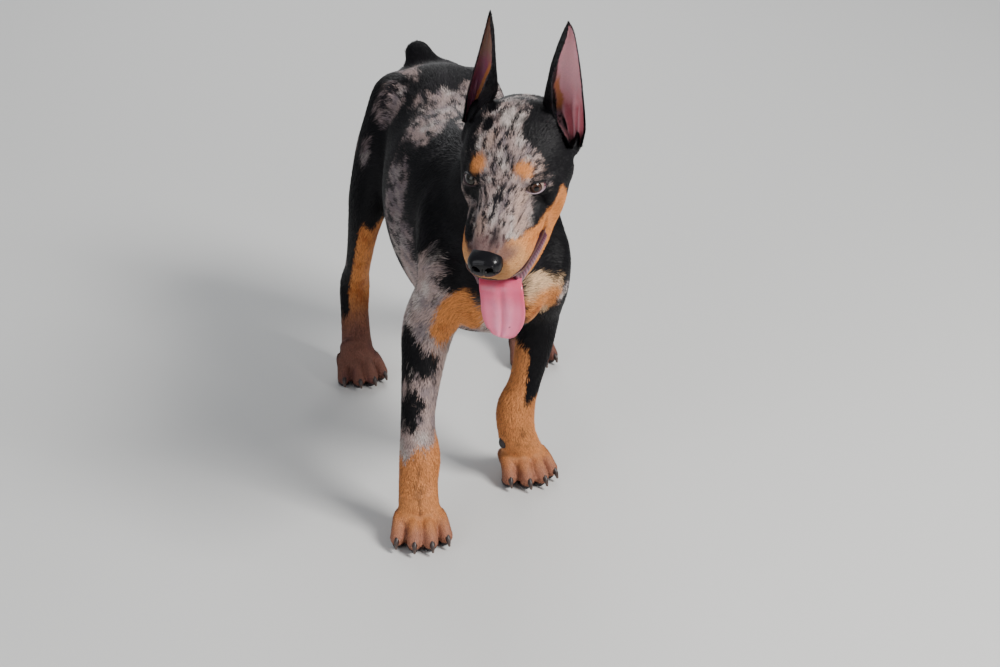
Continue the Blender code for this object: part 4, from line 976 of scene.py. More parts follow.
# The skin takes the coat's colours at 0.6 to 0.7 of their strength: painted shade deep under the hair
# Name, points, quads, colours, triangles that are left, nodes it stands for
SKIN_PIECES = (
    ("trunk_and_leg_skin", body_points, body_quads, 0.6 * body_markings(body_points), 90000,
     ("torso", "neck", "tail", *LEGS)),
    ("head_skin", head_points, head_quads, 0.7 * head_markings(head_local), 140000, ("head", "lower_jaw")),
    ("foot_skin", paw_points, paw_quads, 0.7 * body_markings(paw_points), 70000, PAWS),
)
for name, points, quads, colours, triangles, stands_for in SKIN_PIECES:
    skin = coloured(new_piece(name, points + ORIGIN, [quads]), colours)
    finished(thinned(skin, triangles), SKIN, "short_coat", *stands_for)


# Ears
# Each standing ear is a leaf of gristle between two skins, cropped to a point: rolled to a cup at its foot,
# haired black outside and round its rim, bare and pink inside, with folds that run up out of the cup.
EAR_PINK, EAR_ROSE, EAR_SHADE = tone(255, 194, 204), tone(246, 146, 160), tone(150, 112, 118)
EAR_FOLD_SHADE, EAR_SHADED_BROWN, EAR_SHADED_PURPLE = tone(200, 84, 98), tone(156, 122, 108), tone(160, 90, 118)
# Height up the inside of each ear and how far across it the black hair of the front rim ends there, then
# the heights between which a fringe of tan hair edges it
EAR_HAIR_EDGE = {
    1: (
        (0.0, 0.1), (0.22, -0.1), (0.3, -0.18), (0.36, -0.06),
        (0.43, 0.0), (0.54, -0.14), (0.65, -0.12), (0.95, -0.3),
    ),
    -1: ((0.0, 0.14), (0.3, 0.14), (0.38, 0.09), (0.46, -0.02), (0.55, -0.22), (0.66, -0.36), (0.95, -0.6)),
}
EAR_FRINGE = {1: (0.34, 0.4, 0.54, 0.64), -1: (0.26, 0.32, 0.56, 0.66)}
# Folds: place across the foot of the leaf, lean, width, height, and from where to where they run up
EAR_FOLDS = (
    (0.1, 0.1, 0.05, 0.0032, 0.16, 0.42), (0.3, 0.2, 0.045, 0.003, 0.12, 0.5),
    (0.52, 0.1, 0.05, 0.0024, 0.14, 0.44),
)


def ear_leaf(sign, height, turn):
    """Middle surface of the ear and its way out, read between the points of its sheet."""
    row = np.clip(height, 0, 0.9999) * (SHEET_TALL - 1)
    column = (np.clip(turn, -0.9999, 0.9999) + 1) * (SHEET_WIDE // 2)
    low, left = row.astype(int), column.astype(int)
    up, over = (row - low)[..., None], (column - left)[..., None]
    sheet = EAR_SHEETS[sign]
    here = (sheet[low, left] * (1 - over) + sheet[low, left + 1] * over) * (1 - up)
    here = here + (sheet[low + 1, left] * (1 - over) + sheet[low + 1, left + 1] * over) * up
    return here[..., :3], unit(here[..., 3:] + 1e-12)


def ear_wall(sign, height, turn, side):
    """One face of the leaf, half its thickness to the outer (1) or inner (-1) side, with folds inside."""
    place, away = ear_leaf(sign, height, turn)
    rim = np.sqrt(np.clip(1 - np.abs(turn) ** 6, 0, 1))
    half = (0.0005 + 0.0008 * np.clip(1.1 - height, 0, 1)) * rim
    folds = sum(
        high * hump(turn - at - lean * height, wide) * eased(height, low, low + 0.05)
        * (1 - eased(height, far - 0.1, far))
        for at, lean, wide, high, low, far in EAR_FOLDS
    )
    return place + away * np.where(side > 0, half, -half - folds * rim)[..., None]


EAR_RINGS, EAR_HALF_RING = 120, 56
laps = np.linspace(0, 2, 2 * EAR_HALF_RING, endpoint=False)
height, lap = np.meshgrid(np.linspace(0, 1.0, EAR_RINGS), laps, indexing="ij")
ear_side = np.where(lap < 1, 1.0, -1.0)
ear_turn = np.where(lap < 1, 2 * lap - 1, 3 - 2 * lap)
ear_walls, ear_faces, ear_paint = [], [], []
for sign in SIDES:
    wall = ear_wall(sign, height, ear_turn, ear_side)
    points, quads, fans = closed_solid(wall)
    start = sum(len(more) for more in ear_walls)
    up, turn, inside = with_ends(height, 0, 1), with_ends(ear_turn), with_ends(ear_side < 0)
    worn, mottled = ragged(points, 0.006), ragged(points, 0.0025, 5.0)
    edge = np.interp(up, *zip(*EAR_HAIR_EDGE[sign])) + 0.03 * worn + 0.02 * mottled
    haired = np.maximum(eased(turn + 0.03 * worn, 0.9, 0.95), 1 - eased(turn - edge, -0.02, 0.03))
    haired = np.maximum(haired, eased(up, 0.93, 0.97))
    bare = laid(EAR_PINK, EAR_ROSE, 1 - eased(up + 0.05 * worn, 0.24, 0.6))
    # The right ear's inside lies in shadow, so it is painted purple below and brown above as painted shade
    if sign < 0:
        bare = laid(EAR_SHADED_PURPLE, EAR_SHADED_BROWN, eased(up + 0.06 * worn, 0.55, 0.72))
    else:
        # Painted light on the left ear's folds: red between them as painted shade, the crests pink again as
        # painted highlight
        crest_highlight = sum(hump(turn - at - lean * up, 0.035) for at, lean, *_ in EAR_FOLDS)
        fold_light_and_shade = eased(up, 0.16, 0.22) * (1 - eased(up + 0.04 * worn, 0.36, 0.46)) * eased(turn, 0.02, 0.08)
        bare = laid(laid(bare, EAR_FOLD_SHADE, 0.55 * fold_light_and_shade), EAR_PINK, 0.85 * fold_light_and_shade * crest_highlight)
        on_leaf = np.stack([up, turn, 0 * up], 1)
        # A patch in the cup is painted dark: painted shade, mottled with black
        notch = spot(on_leaf, (0.31, -0.02, 0), (0.085, 0.13, 1), 0.2 * worn, 0.3)
        bare = laid(bare, laid(EAR_SHADE, BLACK, eased(mottled, 0.2, 0.5)), notch)
        tuft = spot(on_leaf, (0.265, 0.08, 0), (0.045, 0.05, 1), 0.3 * mottled, 0.3)
        haired = np.maximum(haired, tuft)
        haired = np.maximum(haired, 0.95 * (1 - eased(up + 0.03 * worn - 0.05 * turn, 0.15, 0.21)))
    from_low, to_low, from_high, to_high = EAR_FRINGE[sign]
    fringe = 1 - eased(np.abs(turn - edge - 0.08), 0.06, 0.11)
    fringe = fringe * eased(up, from_low, to_low) * (1 - eased(up, from_high, to_high))
    bare = laid(bare, TAN, 0.9 * fringe)
    haired = haired * (1 - 0.9 * fringe)
    ear_walls.append(from_head(points))
    ear_faces += [quads + start, fans + start]
    ear_paint.append(laid(BLACK, bare, inside * (1 - haired)))
ears = coloured(new_piece("ear_leaves", np.vstack(ear_walls), ear_faces), np.vstack(ear_paint))
EAR_SKIN = painted("Ear skin", 0.5, 700.0, 0.12, 0.0003, Subsurface_Weight=0.15, Subsurface_Scale=0.006)
finished(ears, EAR_SKIN, "short_coat", "ear_left", "ear_right")


# Eyes
# A wet globe with the clear window bulging in front, a brown iris that fills the gap between the lids and
# a small round pupil. The left iris is amber brown, the right one a darker olive.
IRIS_TONES = {1: (tone(78, 50, 36), tone(34, 22, 18)), -1: (tone(50, 46, 34), tone(20, 18, 15))}
WINDOW_ANGLE, IRIS_ANGLE, PUPIL_ANGLE, WINDOW_RISE = 0.72, 0.62, 0.25, 0.0009
PUPIL_BLACK, EYE_WHITE = tone(8, 7, 8), tone(150, 128, 118)
WET = {"Specular_IOR_Level": 0.25, "Coat_Weight": 0.45, "Coat_Roughness": 0.02, "IOR": 1.38}
EYE_WET = painted("Wet eye", 0.06, 900.0, 0.0, 0, **WET)

off_axis = np.concatenate([np.linspace(0.01, 0.9, 56), np.linspace(0.95, math.pi - 0.05, 20)])
for sign, side in SIDES.items():
    middle, gaze, corners, upward = eye_axes(sign)
    tilt, spin = np.meshgrid(off_axis, full_turn(72), indexing="ij")
    bulge = WINDOW_RISE * np.clip(1 - (tilt / WINDOW_ANGLE) ** 2, 0, 1) ** 1.5
    across = corners * np.cos(spin)[..., None] + upward * np.sin(spin)[..., None]
    ray = gaze * np.cos(tilt)[..., None] + across * np.sin(tilt)[..., None]
    points, quads, fans = closed_solid(middle + ray * (EYE_RADIUS - 0.0004 + bulge)[..., None])
    tilt, spin = with_ends(tilt, 0, math.pi), with_ends(spin)
    light, dark = IRIS_TONES[sign]
    spokes = np.stack([np.cos(spin) * 9, np.sin(spin) * 9, tilt * 6], 1)
    iris = laid(dark, light, 0.55 + 0.45 * ragged(spokes, 1.0) - eased(tilt, 0.45, IRIS_ANGLE))
    rim = tilt + 0.01 * ragged(spokes, 1.0)
    paint = laid(iris, PUPIL_BLACK, 1 - eased(rim, PUPIL_ANGLE - 0.03, PUPIL_ANGLE + 0.03))
    paint = laid(paint, EYE_WHITE, eased(tilt, IRIS_ANGLE, IRIS_ANGLE + 0.08))
    head_piece("globe_" + side, points, [quads, fans], paint, EYE_WET, "eyeball", "eye_" + side)


# Lids
# Above and below, a lid wraps each eye: a narrow bare margin lies on the globe, then the haired skin climbs
# over it and runs out into the face. At the inner corner sits a small wet knob of pink skin.
LID_SPREAD = 1.62           # where the lid dives under the skin of the face, in openings
LID_MARGIN, LID_SIDES = 0.001, 120
RAY_LEAD = 0.03             # how far in front of a lid the rays onto the face start
# Upper rim, then for each eye the lower rim (the left one's pale lilac partly a painted reflection on its wet
# edge), the rim at the inner corner and the wet knob in that corner
RIM_BLACK = tone(16, 13, 15)
LOWER_RIMS_AND_GLINT = {1: tone(178, 156, 166), -1: tone(84, 66, 72)}
CORNER_RIMS = {1: tone(130, 92, 104), -1: tone(70, 52, 58)}
KNOBS = {1: tone(132, 84, 94), -1: tone(84, 58, 66)}
LID_SKIN = painted("Lid skin", 0.45, 1200.0, 0.15, 0.0002, Specular_IOR_Level=0.3)
KNOB_SKIN = painted("Wet pink skin", 0.22, 900.0, 0.1, 0.0002)


def lid_point(sign, spin, share):
    """A point at some share of the almond: half length by cosine, height above or below by sine."""
    middle, gaze, corners, upward = eye_axes(sign)
    half, above, below = LID_OPENING
    inward = 1 + 0.14 * np.clip(-np.cos(spin), 0, 1) ** 4 * (LID_SPREAD - share) / 0.62
    rise = np.sin(spin) * np.where(np.sin(spin) > 0, above, below)
    aside = corners * (half * np.cos(spin) * share * inward)[..., None]
    return middle + aside + upward * (rise * share)[..., None]


def on_globe(points, sign, radius):
    """Pushes points along the gaze out to a globe of this radius round the eye."""
    middle, gaze = eye_axes(sign)[:2]
    flat = points - middle
    flat = flat - gaze * (flat @ gaze)[..., None]
    deep = np.sqrt(np.maximum(radius**2 - np.einsum("...k,...k->...", flat, flat), (0.3 * radius) ** 2))
    return middle + flat + gaze * deep[..., None]


def on_face(points, sign):
    """Where rays along the gaze from in front of the points meet the skin of the face."""
    gaze = eye_axes(sign)[1]
    hits = []
    for point in points.reshape(-1, 3):
        start = point + gaze * RAY_LEAD
        hit = head_tree.ray_cast(Vector(start), Vector(-gaze), 2 * RAY_LEAD)[0]
        hits.append(point if hit is None else hit[:])
    return np.array(hits).reshape(points.shape)


for sign, side in SIDES.items():
    middle, gaze, corners, upward = eye_axes(sign)
    spin = full_turn(LID_SIDES)[None]
    margin = np.linspace(0, 1, 6)[:, None]
    rim = on_globe(lid_point(sign, spin, np.ones((6, 1))), sign, EYE_RADIUS)
    out = unit(rim - middle)
    rounding = np.sin(0.5 * math.pi * margin)[..., None]
    wall = rim + out * (LID_MARGIN * rounding + 0.00005)
    share = np.linspace(1.05, LID_SPREAD, 22)[:, None]
    lid = on_face(lid_point(sign, spin, share), sign)
    ball = on_globe(lid_point(sign, spin, share), sign, EYE_RADIUS + LID_MARGIN + 0.0002)
    blend = eased(share, 1.05, 1.4)[..., None]
    sheet = ball * (1 - blend) + lid * blend
    over = np.clip(np.sin(spin), 0, 1)[..., None]
    groove = -0.0006 * hump(share[..., None] - 1.3, 0.05) * over
    groove = groove - 0.0004 * hump(share[..., None] - 1.34, 0.05) * np.clip(-np.sin(spin), 0, 1)[..., None]
    pouch = 0.0005 * hump(share[..., None] - 1.16, 0.08)
    sink = -0.0009 * eased(share, 1.46, LID_SPREAD)[..., None]
    sheet = sheet + gaze * (groove + pouch + sink)
    grid = np.vstack([rim[None, 0] - out[None, 0] * 0.0006, wall, sheet])
    rings = len(grid)
    wall_faces = ring_faces(rings, LID_SIDES)[0]
    points = grid.reshape(-1, 3)
    a, b, c = (points[wall_faces[:, k]] for k in range(3))
    if np.einsum("ij,j->", np.cross(b - a, c - a), gaze) < 0:
        wall_faces = wall_faces[:, ::-1]
    on_margin = np.repeat(np.arange(rings) < 8, LID_SIDES) * 1.0
    # The left lower rim's pale lilac: pink skin and partly a painted reflection along its wet edge
    lower = np.tile(eased(-np.sin(spin[0]), -0.1, 0.3), rings)
    nasal = np.tile(eased(-np.cos(spin[0]), 0.55, 0.95), rings)
    rim_tone = laid(laid(RIM_BLACK, LOWER_RIMS_AND_GLINT[sign], lower * 0.75), CORNER_RIMS[sign], nasal * 0.6)
    near_rim = 1 - eased(np.repeat(np.concatenate([np.ones(7), share[:, 0]]), LID_SIDES), 1.06, 1.16)
    paint = laid(0.8 * head_markings(points), rim_tone, np.maximum(on_margin, near_rim))
    head_piece("lids_" + side, points, [wall_faces], paint, LID_SKIN, "short_coat")
    knob = middle - corners * LID_OPENING[0] * 0.93 - upward * 0.0004
    knob = on_globe(knob, sign, EYE_RADIUS - 0.0006)
    bead = globe * np.array([0.0016, 0.0013, 0.0014]) + knob
    points, quads, fans = closed_solid(bead)
    head_piece("corner_knob_" + side, points, [quads, fans], KNOBS[sign], KNOB_SKIN, "bare_skin")


# Nose
# The bare, cobbled leather of the nose caps the muzzle: two comma-shaped nostrils that run out into slits
# at the wings, and a groove down the middle to the lip.
NOSE_ROWS = (
    (-0.0017, -0.0755, -0.0255, 0.0155, 0.0104, 0.0104),
    (-0.0018, -0.0805, -0.0258, 0.0164, 0.0118, 0.0122), (-0.002, -0.0865, -0.0262, 0.017, 0.0116, 0.0132),
    (-0.0022, -0.0912, -0.0267, 0.0157, 0.0104, 0.0116), (-0.0023, -0.0943, -0.027, 0.0132, 0.0084, 0.0094),
)
NOSE_MIDDLE, NOSE_DROP = -0.0021, -0.0023
nose_grid = limb(NOSE_ROWS, 46, 128, 2.35, 0.32, 22)
points, quads, fans = closed_solid(nose_grid)
flat = points - np.array([NOSE_MIDDLE, 0, NOSE_DROP])
nose_normals = unit(normals_of(points, quads) + 1e-9)
x, y, z = np.abs(flat[:, 0]), flat[:, 1], flat[:, 2]
ahead = eased(-y, 0.087, 0.0915)
hole = 1 - eased(np.hypot((x - 0.0064) / 0.0037, (z + 0.0228 - 0.25 * (x - 0.0064)) / 0.0031), 0.72, 1.15)
slit_line = -0.0238 - 0.0045 * eased(x, 0.0075, 0.015)
slit = hump(z - slit_line, 0.0009) * eased(x, 0.007, 0.0088) * eased(-y, 0.08, 0.085)
wing = np.exp(-(((x - 0.0098) / 0.003) ** 2 + ((z + 0.019) / 0.0034) ** 2)) * ahead
groove = hump(x, 0.0007) * eased(-z, 0.0185, 0.023) * ahead
brow = np.exp(-((x / 0.004) ** 2 + ((z + 0.015) / 0.003) ** 2)) * ahead
points = points + nose_normals * (0.0008 * wing - 0.0012 * groove - 0.0022 * slit + 0.0003 * brow)[:, None]
points = points + np.array([0, 1, 0]) * (0.0062 * hole * ahead)[:, None]
shade = laid(tone(11, 10, 14), tone(40, 26, 28), 0.7 * eased(-z, 0.03, 0.035) * ahead)
# The nostrils and slits are painted darker still: painted shade inside them
shade = laid(shade, tone(8, 6, 7), np.maximum(hole * ahead, 0.8 * slit))


def leather():
    """Black nose leather: rounded cobbles from cells of noise, parted from each other by fine furrows."""
    moist = {"Specular_IOR_Level": 0.12, "Coat_Weight": 0.3, "Coat_Roughness": 0.08}
    made = painted("Nose leather", 0.34, 500.0, 0.15, 0, **moist)
    nodes, links = made.node_tree.nodes, made.node_tree.links
    place, cells = nodes.new("ShaderNodeTexCoord"), nodes.new("ShaderNodeTexVoronoi")
    raised = nodes.new("ShaderNodeBump")
    cells.feature = "DISTANCE_TO_EDGE"
    cells.inputs["Scale"].default_value = 1050.0
    raised.inputs["Strength"].default_value, raised.inputs["Distance"].default_value = 0.4, 0.0005
    links.new(place.outputs["Object"], cells.inputs["Vector"])
    links.new(cells.outputs["Distance"], raised.inputs["Height"])
    links.new(raised.outputs["Normal"], nodes["Principled BSDF"].inputs["Normal"])
    return made


head_piece("nose_leather", points, [quads, fans], shade, leather(), "bare_skin", "nose")


# Mouth
# The lower lip hangs open along the left: purple gum-like skin with a comb of small folds, edged by the tan
# chin; painted highlight lies on the folds' crests and painted shade inside. A dark brown margin, painted
# shade in the crease, follows the upper lip all the way round.
LOWER_LIP_OUTER = (
    (0.0212, -0.066, -0.0735), (0.0265, -0.047, -0.0705), (0.0303, -0.029, -0.068),
    (0.0334, -0.017, -0.0645), (0.0354, -0.009, -0.0605), (0.0364, -0.004, -0.056),
)
LOWER_LIP_INNER = (
    (0.0225, -0.0735, -0.048), (0.029, -0.056, -0.048), (0.0325, -0.039, -0.0487),
    (0.0343, -0.025, -0.0496), (0.0353, -0.014, -0.0507), (0.036, -0.005, -0.053),
)
LIP_PURPLE, LIP_CREST_HIGHLIGHT = tone(84, 34, 54), tone(196, 126, 140)
LIP_SHADE, LIP_CREASE_SHADE = tone(44, 20, 30), tone(84, 54, 46)
LIP_LONG, LIP_WIDE = 260, 14        # points along the lower lip, and across each of its faces
LIP_FINISH = painted("Wet lip skin", 0.35, 700.0, 0.15, 0.0002, Specular_IOR_Level=0.35, Coat_Weight=0.15)
along = np.linspace(0, 1, LIP_LONG)
nought = 0 * along
for sign, side in SIDES.items():
    flip = np.array([1.0 if sign > 0 else -0.88, 1, 1])
    outer_line = smooth_rows(LOWER_LIP_OUTER, LIP_LONG) * flip
    inner_line = smooth_rows(LOWER_LIP_INNER, LIP_LONG) * flip
    across = np.linspace(0, 1, LIP_WIDE)[:, None]
    uneven = 3.6 * drift(np.stack([along * 9, nought, nought], 1), 1.0)
    comb = 0.5 + 0.5 * np.sin(along * 2 * math.pi * 21 + uneven)
    comb = comb * (0.76 + 0.24 * drift(np.stack([along * 13, nought, nought + 5], 1), 1.0))
    fade = eased(along, 0, 0.1) * (1 - eased(along, 0.84, 1.0))
    tooth = 0.0014 * (comb - 0.5) * fade
    edge_line = outer_line + np.array([0, 0, 1]) * tooth[:, None]
    sheet = inner_line[None] * (1 - across[..., None]) + edge_line[None] * across[..., None]
    out = unit(np.cross(np.gradient(outer_line, axis=0), outer_line - inner_line)) * sign
    out *= np.sign(out[LIP_LONG // 2, 0]) * sign
    swell = (0.0034 * np.sin(math.pi * across**0.8) + 0.0009 * comb * np.sin(math.pi * across)) * fade
    top = sheet + out[None] * swell[..., None] + out[None] * 0.0004
    under = sheet[::-1] - out[None] * 0.003
    ring = np.concatenate([top, under]).transpose(1, 0, 2)
    points, quads, fans = closed_solid(ring)
    # Painted light on the lower lip: the comb's crests lighter as painted highlight, inner edge and underside
    # dark as painted shade
    crests = comb[:, None] * np.sin(math.pi * across[:, 0])[None]
    light = np.concatenate([crests, np.zeros((LIP_LONG, LIP_WIDE))], 1)
    paint = laid(LIP_PURPLE, LIP_CREST_HIGHLIGHT, with_ends(0.72 * light**1.5))
    deep = np.concatenate([eased(across[:, 0], 0.45, 0.0), np.ones(LIP_WIDE)])
    paint = laid(paint, LIP_SHADE, 0.75 * with_ends(np.tile(deep, LIP_LONG)))
    head_piece("lower_lip_" + side, points, [quads, fans], paint, LIP_FINISH, "bare_skin")

# The margin is a thin dark brown tube under the lip's edge: painted shade in the crease
upper_line = np.vstack([(LIP_LINE * [-1, 1, 1] + [0.002, 0, 0])[:0:-1], LIP_LINE])
upper_line = upper_line * np.array([0.965, 1, 1]) + np.array([0, 0.002, 0.0002])
thick = 0.0009 * np.concatenate([LIP_END_FADE[:0:-1], LIP_END_FADE]).clip(0.15)[:, None, None]
turn = full_turn(14)[:, None]
way = unit(np.gradient(upper_line, axis=0))
rise = unit(np.array([0, 0, 1.0]) - way * way[:, 2:3])
aside = np.cross(way, rise)
ring = upper_line[:, None] + thick * (aside[:, None] * np.cos(turn) + rise[:, None] * np.sin(turn))
points, quads, fans = closed_solid(ring)
head_piece("upper_lip_margin", points, [quads, fans], LIP_CREASE_SHADE, LIP_FINISH, "bare_skin")


# Tongue
# It hangs out over the lower teeth, broad and pink: a groove down its middle between two low swellings,
# edges that curl up a little and a fine velvet of papillae.
TONGUE_ROWS = (
    (0.0, -0.01, -0.055, 0.018, 0.003, 0.003), (0.002, -0.038, -0.06, 0.02, 0.0034, 0.0034),
    (0.0045, -0.06, -0.062, 0.0205, 0.0034, 0.0034), (0.0075, -0.0755, -0.064, 0.0205, 0.0032, 0.0032),
    (0.0093, -0.0825, -0.0715, 0.0208, 0.003, 0.003), (0.0102, -0.0872, -0.0832, 0.0212, 0.0028, 0.0028),
    (0.01, -0.0912, -0.0952, 0.0194, 0.0026, 0.0026), (0.009, -0.0947, -0.1042, 0.0152, 0.0024, 0.0024),
    (0.008, -0.0967, -0.1087, 0.01, 0.0022, 0.0022),
)
TONGUE_PINK, TONGUE_SHADE, TONGUE_HIGHLIGHT = tone(238, 120, 152), tone(204, 72, 104), tone(248, 166, 192)
TONGUE_FLECK = tone(70, 30, 40)
TONGUE_SIDES = 96
tongue_grid = limb(TONGUE_ROWS, 120, TONGUE_SIDES, 2.5, 1.0, 10)
centre = tongue_grid.mean(axis=1, keepdims=True)
points, quads, fans = closed_solid(tongue_grid)
half = np.linalg.norm(tongue_grid[:, 0] - tongue_grid[:, TONGUE_SIDES // 2], axis=1)[:, None] * 0.5
side_share = with_ends((tongue_grid - centre)[..., 0] / np.maximum(half, 1e-4))
tongue_normals = unit(normals_of(points, quads) + 1e-9)
upper = (tongue_normals[:, 1] < 0) * 1.0
groove = hump(side_share, 0.055)
swell = hump(np.abs(side_share) - 0.28, 0.2)
curl = np.abs(side_share) ** 4
lift = upper * (-0.0008 * groove + 0.0008 * swell) + 0.0007 * curl * np.where(upper > 0, 1, -1)
wave = 0.0004 * ragged(points, 0.012, 3.0)
points = points + tongue_normals * (lift + wave)[:, None]
# Painted shade in the groove and at the curled edges
paint = laid(TONGUE_PINK, TONGUE_SHADE, 0.65 * eased(np.abs(side_share), 0.72, 1.0) + 0.25 * groove)
# Painted highlight along the two swellings
paint = laid(paint, TONGUE_HIGHLIGHT, 0.7 * swell * upper * (0.6 + 0.4 * ragged(points, 0.008)))
# Painted shade towards the top, where the tongue comes out under the lip
paint = laid(paint, TONGUE_SHADE, 0.7 * eased(points[:, 2], -0.086, -0.066))
fleck = spot(points, (0.017, -0.0945, -0.099), (0.0007, 0.003, 0.0008), 0, 0.3)
paint = laid(paint, TONGUE_FLECK, fleck)
SOFT = {"Subsurface_Weight": 0.3, "Subsurface_Scale": 0.006, "Coat_Weight": 0.25}
TONGUE_FINISH = painted("Tongue skin", 0.3, 1500.0, 0.1, 0.00035, **SOFT)
head_piece("hanging_tongue", points, [quads, fans], paint, TONGUE_FINISH, "tongue_skin", "tongue")


# Claws and pads
# Each toe ends in a dark, blunt, slightly hooked claw over a leathery pad. Small pads stand behind the
# wrists of the forelegs.
CLAW = (
    (0.0222, 0.0152, 0.0034, 0.0042), (0.0275, 0.0142, 0.0031, 0.0038), (0.0318, 0.011, 0.0024, 0.003),
    (0.0342, 0.0066, 0.0013, 0.0017),
)
TOE_PAD = ((0.01, 0.0038, 0.0064, 0.0034), (0.017, 0.0036, 0.0068, 0.0034), (0.0215, 0.004, 0.0052, 0.0032))
WRIST_PADS = (
    ((-0.08, -0.149, 0.074), 0.0052), ((0.0375, -0.06, 0.074), 0.0052), ((0.0246, -0.0792, 0.05), 0.0052),
)
HORN_ROOT, HORN_TIP, PAD_BLACK = tone(50, 38, 36), tone(118, 96, 86), tone(48, 40, 42)
CLAW_SIDES = 12
claw_points, claw_faces, claw_paint, pad_points, pad_faces = [], [], [], [], []


def gathered(points, faces, grid):
    """Adds a closed solid, cut off at the floor, to the points and faces of a piece made of several."""
    more, quads, fans = closed_solid(grid)
    more[:, 2] = np.maximum(more[:, 2], 0.0)
    start = sum(len(earlier) for earlier in points)
    faces += [quads + start, fans + start]
    points.append(more)
    return len(more)


for paw in PAWS:
    for toe in range(4):
        claw = limb(foot_rows(CLAW), 12, CLAW_SIDES, caps=4)
        count = gathered(claw_points, claw_faces, on_foot(claw, paw, toe))
        tip = with_ends(np.repeat(np.linspace(0, 1, (count - 2) // CLAW_SIDES), CLAW_SIDES), 0, 1)
        claw_paint.append(laid(HORN_ROOT, HORN_TIP, 0.8 * eased(tip, 0.5, 1.0)))
        gathered(pad_points, pad_faces, on_foot(limb(foot_rows(TOE_PAD), 10, 16, caps=4), paw, toe))
for place, size in WRIST_PADS:
    gathered(pad_points, pad_faces, globe * size * np.array([0.9, 1.0, 1.4]) + np.array(place))
HORN = painted("Claw horn", 0.42, 600.0, 0.3, 0.0002)
PAD_LEATHER = painted("Pad leather", 0.55, 900.0, 0.4, 0.0008)
claws = coloured(new_piece("claws", np.vstack(claw_points) + ORIGIN, claw_faces), np.vstack(claw_paint))
finished(claws, HORN, "bare_skin")
pads = coloured(new_piece("pads", np.vstack(pad_points) + ORIGIN, pad_faces), PAD_BLACK)
finished(pads, PAD_LEATHER, "bare_skin")


# Coat
# Short, close and glossy hair in thousands of small tufts. Each is a thin blade rooted under the skin that
# lies along the body: backwards over the head and trunk, down the limbs and forwards over the toes.
TUFT_CORNERS = np.array([[-0.35, 0.0], [0.35, 0.0], [0.5, 0.5], [-0.5, 0.5], [0.0, 1.0]])
PATCH = 0.003               # size of a tuft's patch on the unwrap
ROOT_DEPTH = 0.0005         # how far under the skin a tuft starts
LINE_STEPS = 26             # places along each middle line that the hair follows
BATCH = 4000                # points of the skin at a time, to spare memory
MOST_HOLLOW, MOST_ROUND = -30, 110      # bends of the skin, in one over metres, that a tuft still follows
COAT_HAIR = painted("Coat hair", 0.48, 2500.0, 0.1, 0, Specular_IOR_Level=0.12)
chance = np.random.default_rng(5)


def lines_of(*tables):
    """Places, directions and thickness along the middle lines of limbs."""
    parts = []
    for table in tables:
        rows = smooth_rows(table, LINE_STEPS)
        along = unit(np.gradient(rows[:, :3], axis=0))
        parts.append(np.hstack([rows[:, :3], along, rows[:, 3:].mean(axis=1)[:, None]]))
    return np.vstack(parts)


def lie_along(points, normals, lines, edges):
    """The way the hair lies: the lines' directions weighted by (thickness / distance)^6, in the skin."""
    way = np.zeros_like(points)
    for start in range(0, len(points), BATCH):
        part = slice(start, start + BATCH)
        apart = np.linalg.norm(points[part, None] - lines[None, :, :3], axis=2)
        weight = (lines[:, 6] / np.maximum(apart, 1e-4)) ** 6
        way[part] = (weight @ lines[:, 3:6]) / weight.sum(axis=1, keepdims=True)
    return laid_in_skin(way, normals, edges)


def flattened(way, normals):
    """Directions without the part that leaves the skin."""
    return unit(way - normals * np.einsum("ij,ij->i", way, normals)[:, None] + 1e-9)


def laid_in_skin(way, normals, edges):
    """Directions in the skin, evened out twice with those of their neighbours."""
    for _ in range(2):
        way = relaxed(flattened(way, normals), edges, 12)
    return flattened(way, normals)


def bend_along(points, normals, way, edges):
    """Curvature of the skin along the hair: turn of the normal over length on each edge, by its lie."""
    a, b = edges.T
    step, change = points[b] - points[a], normals[b] - normals[a]
    length = np.einsum("ij,ij->i", step, step)
    curve = np.einsum("ij,ij->i", step, change) / length
    total, weights = np.zeros(len(points)), np.zeros(len(points)) + 1e-9
    for end in (a, b):
        weight = np.einsum("ij,ij->i", step, way[end]) ** 4 / length**2
        total += np.bincount(end, weight * curve, len(points))
        weights += np.bincount(end, weight, len(points))
    return np.clip(relaxed((total / weights)[:, None], edges, 4)[:, 0], MOST_HOLLOW, MOST_ROUND)


def scattered(points, quads, fields, per_area):
    """Random places, as many as area times density, with the normals, ways and further fields there."""
    corner = points[quads]
    area = 0.5 * np.linalg.norm(np.cross(corner[:, 2] - corner[:, 0], corner[:, 3] - corner[:, 1]), axis=1)
    expected = area * per_area[quads].mean(axis=1)
    count = np.floor(expected + chance.random(len(quads))).astype(int)
    chosen = np.repeat(np.arange(len(quads)), count)
    u, v = chance.random((2, len(chosen)))
    share = np.stack([(1 - u) * (1 - v), u * (1 - v), u * v, (1 - u) * v], 1)
    roots, normals, way, rest = (
        np.einsum("ij,ijk->ik", share, field[quads[chosen]]) for field in (points, *fields))
    return roots, unit(normals), unit(way), rest


def jostled(roots, way, along, around):
    """Places a little off the roots by chance, so that the colours of neighbouring tufts mix."""
    moved = roots + way * chance.normal(0, along, len(roots))[:, None]
    return moved + chance.normal(0, around, roots.shape)


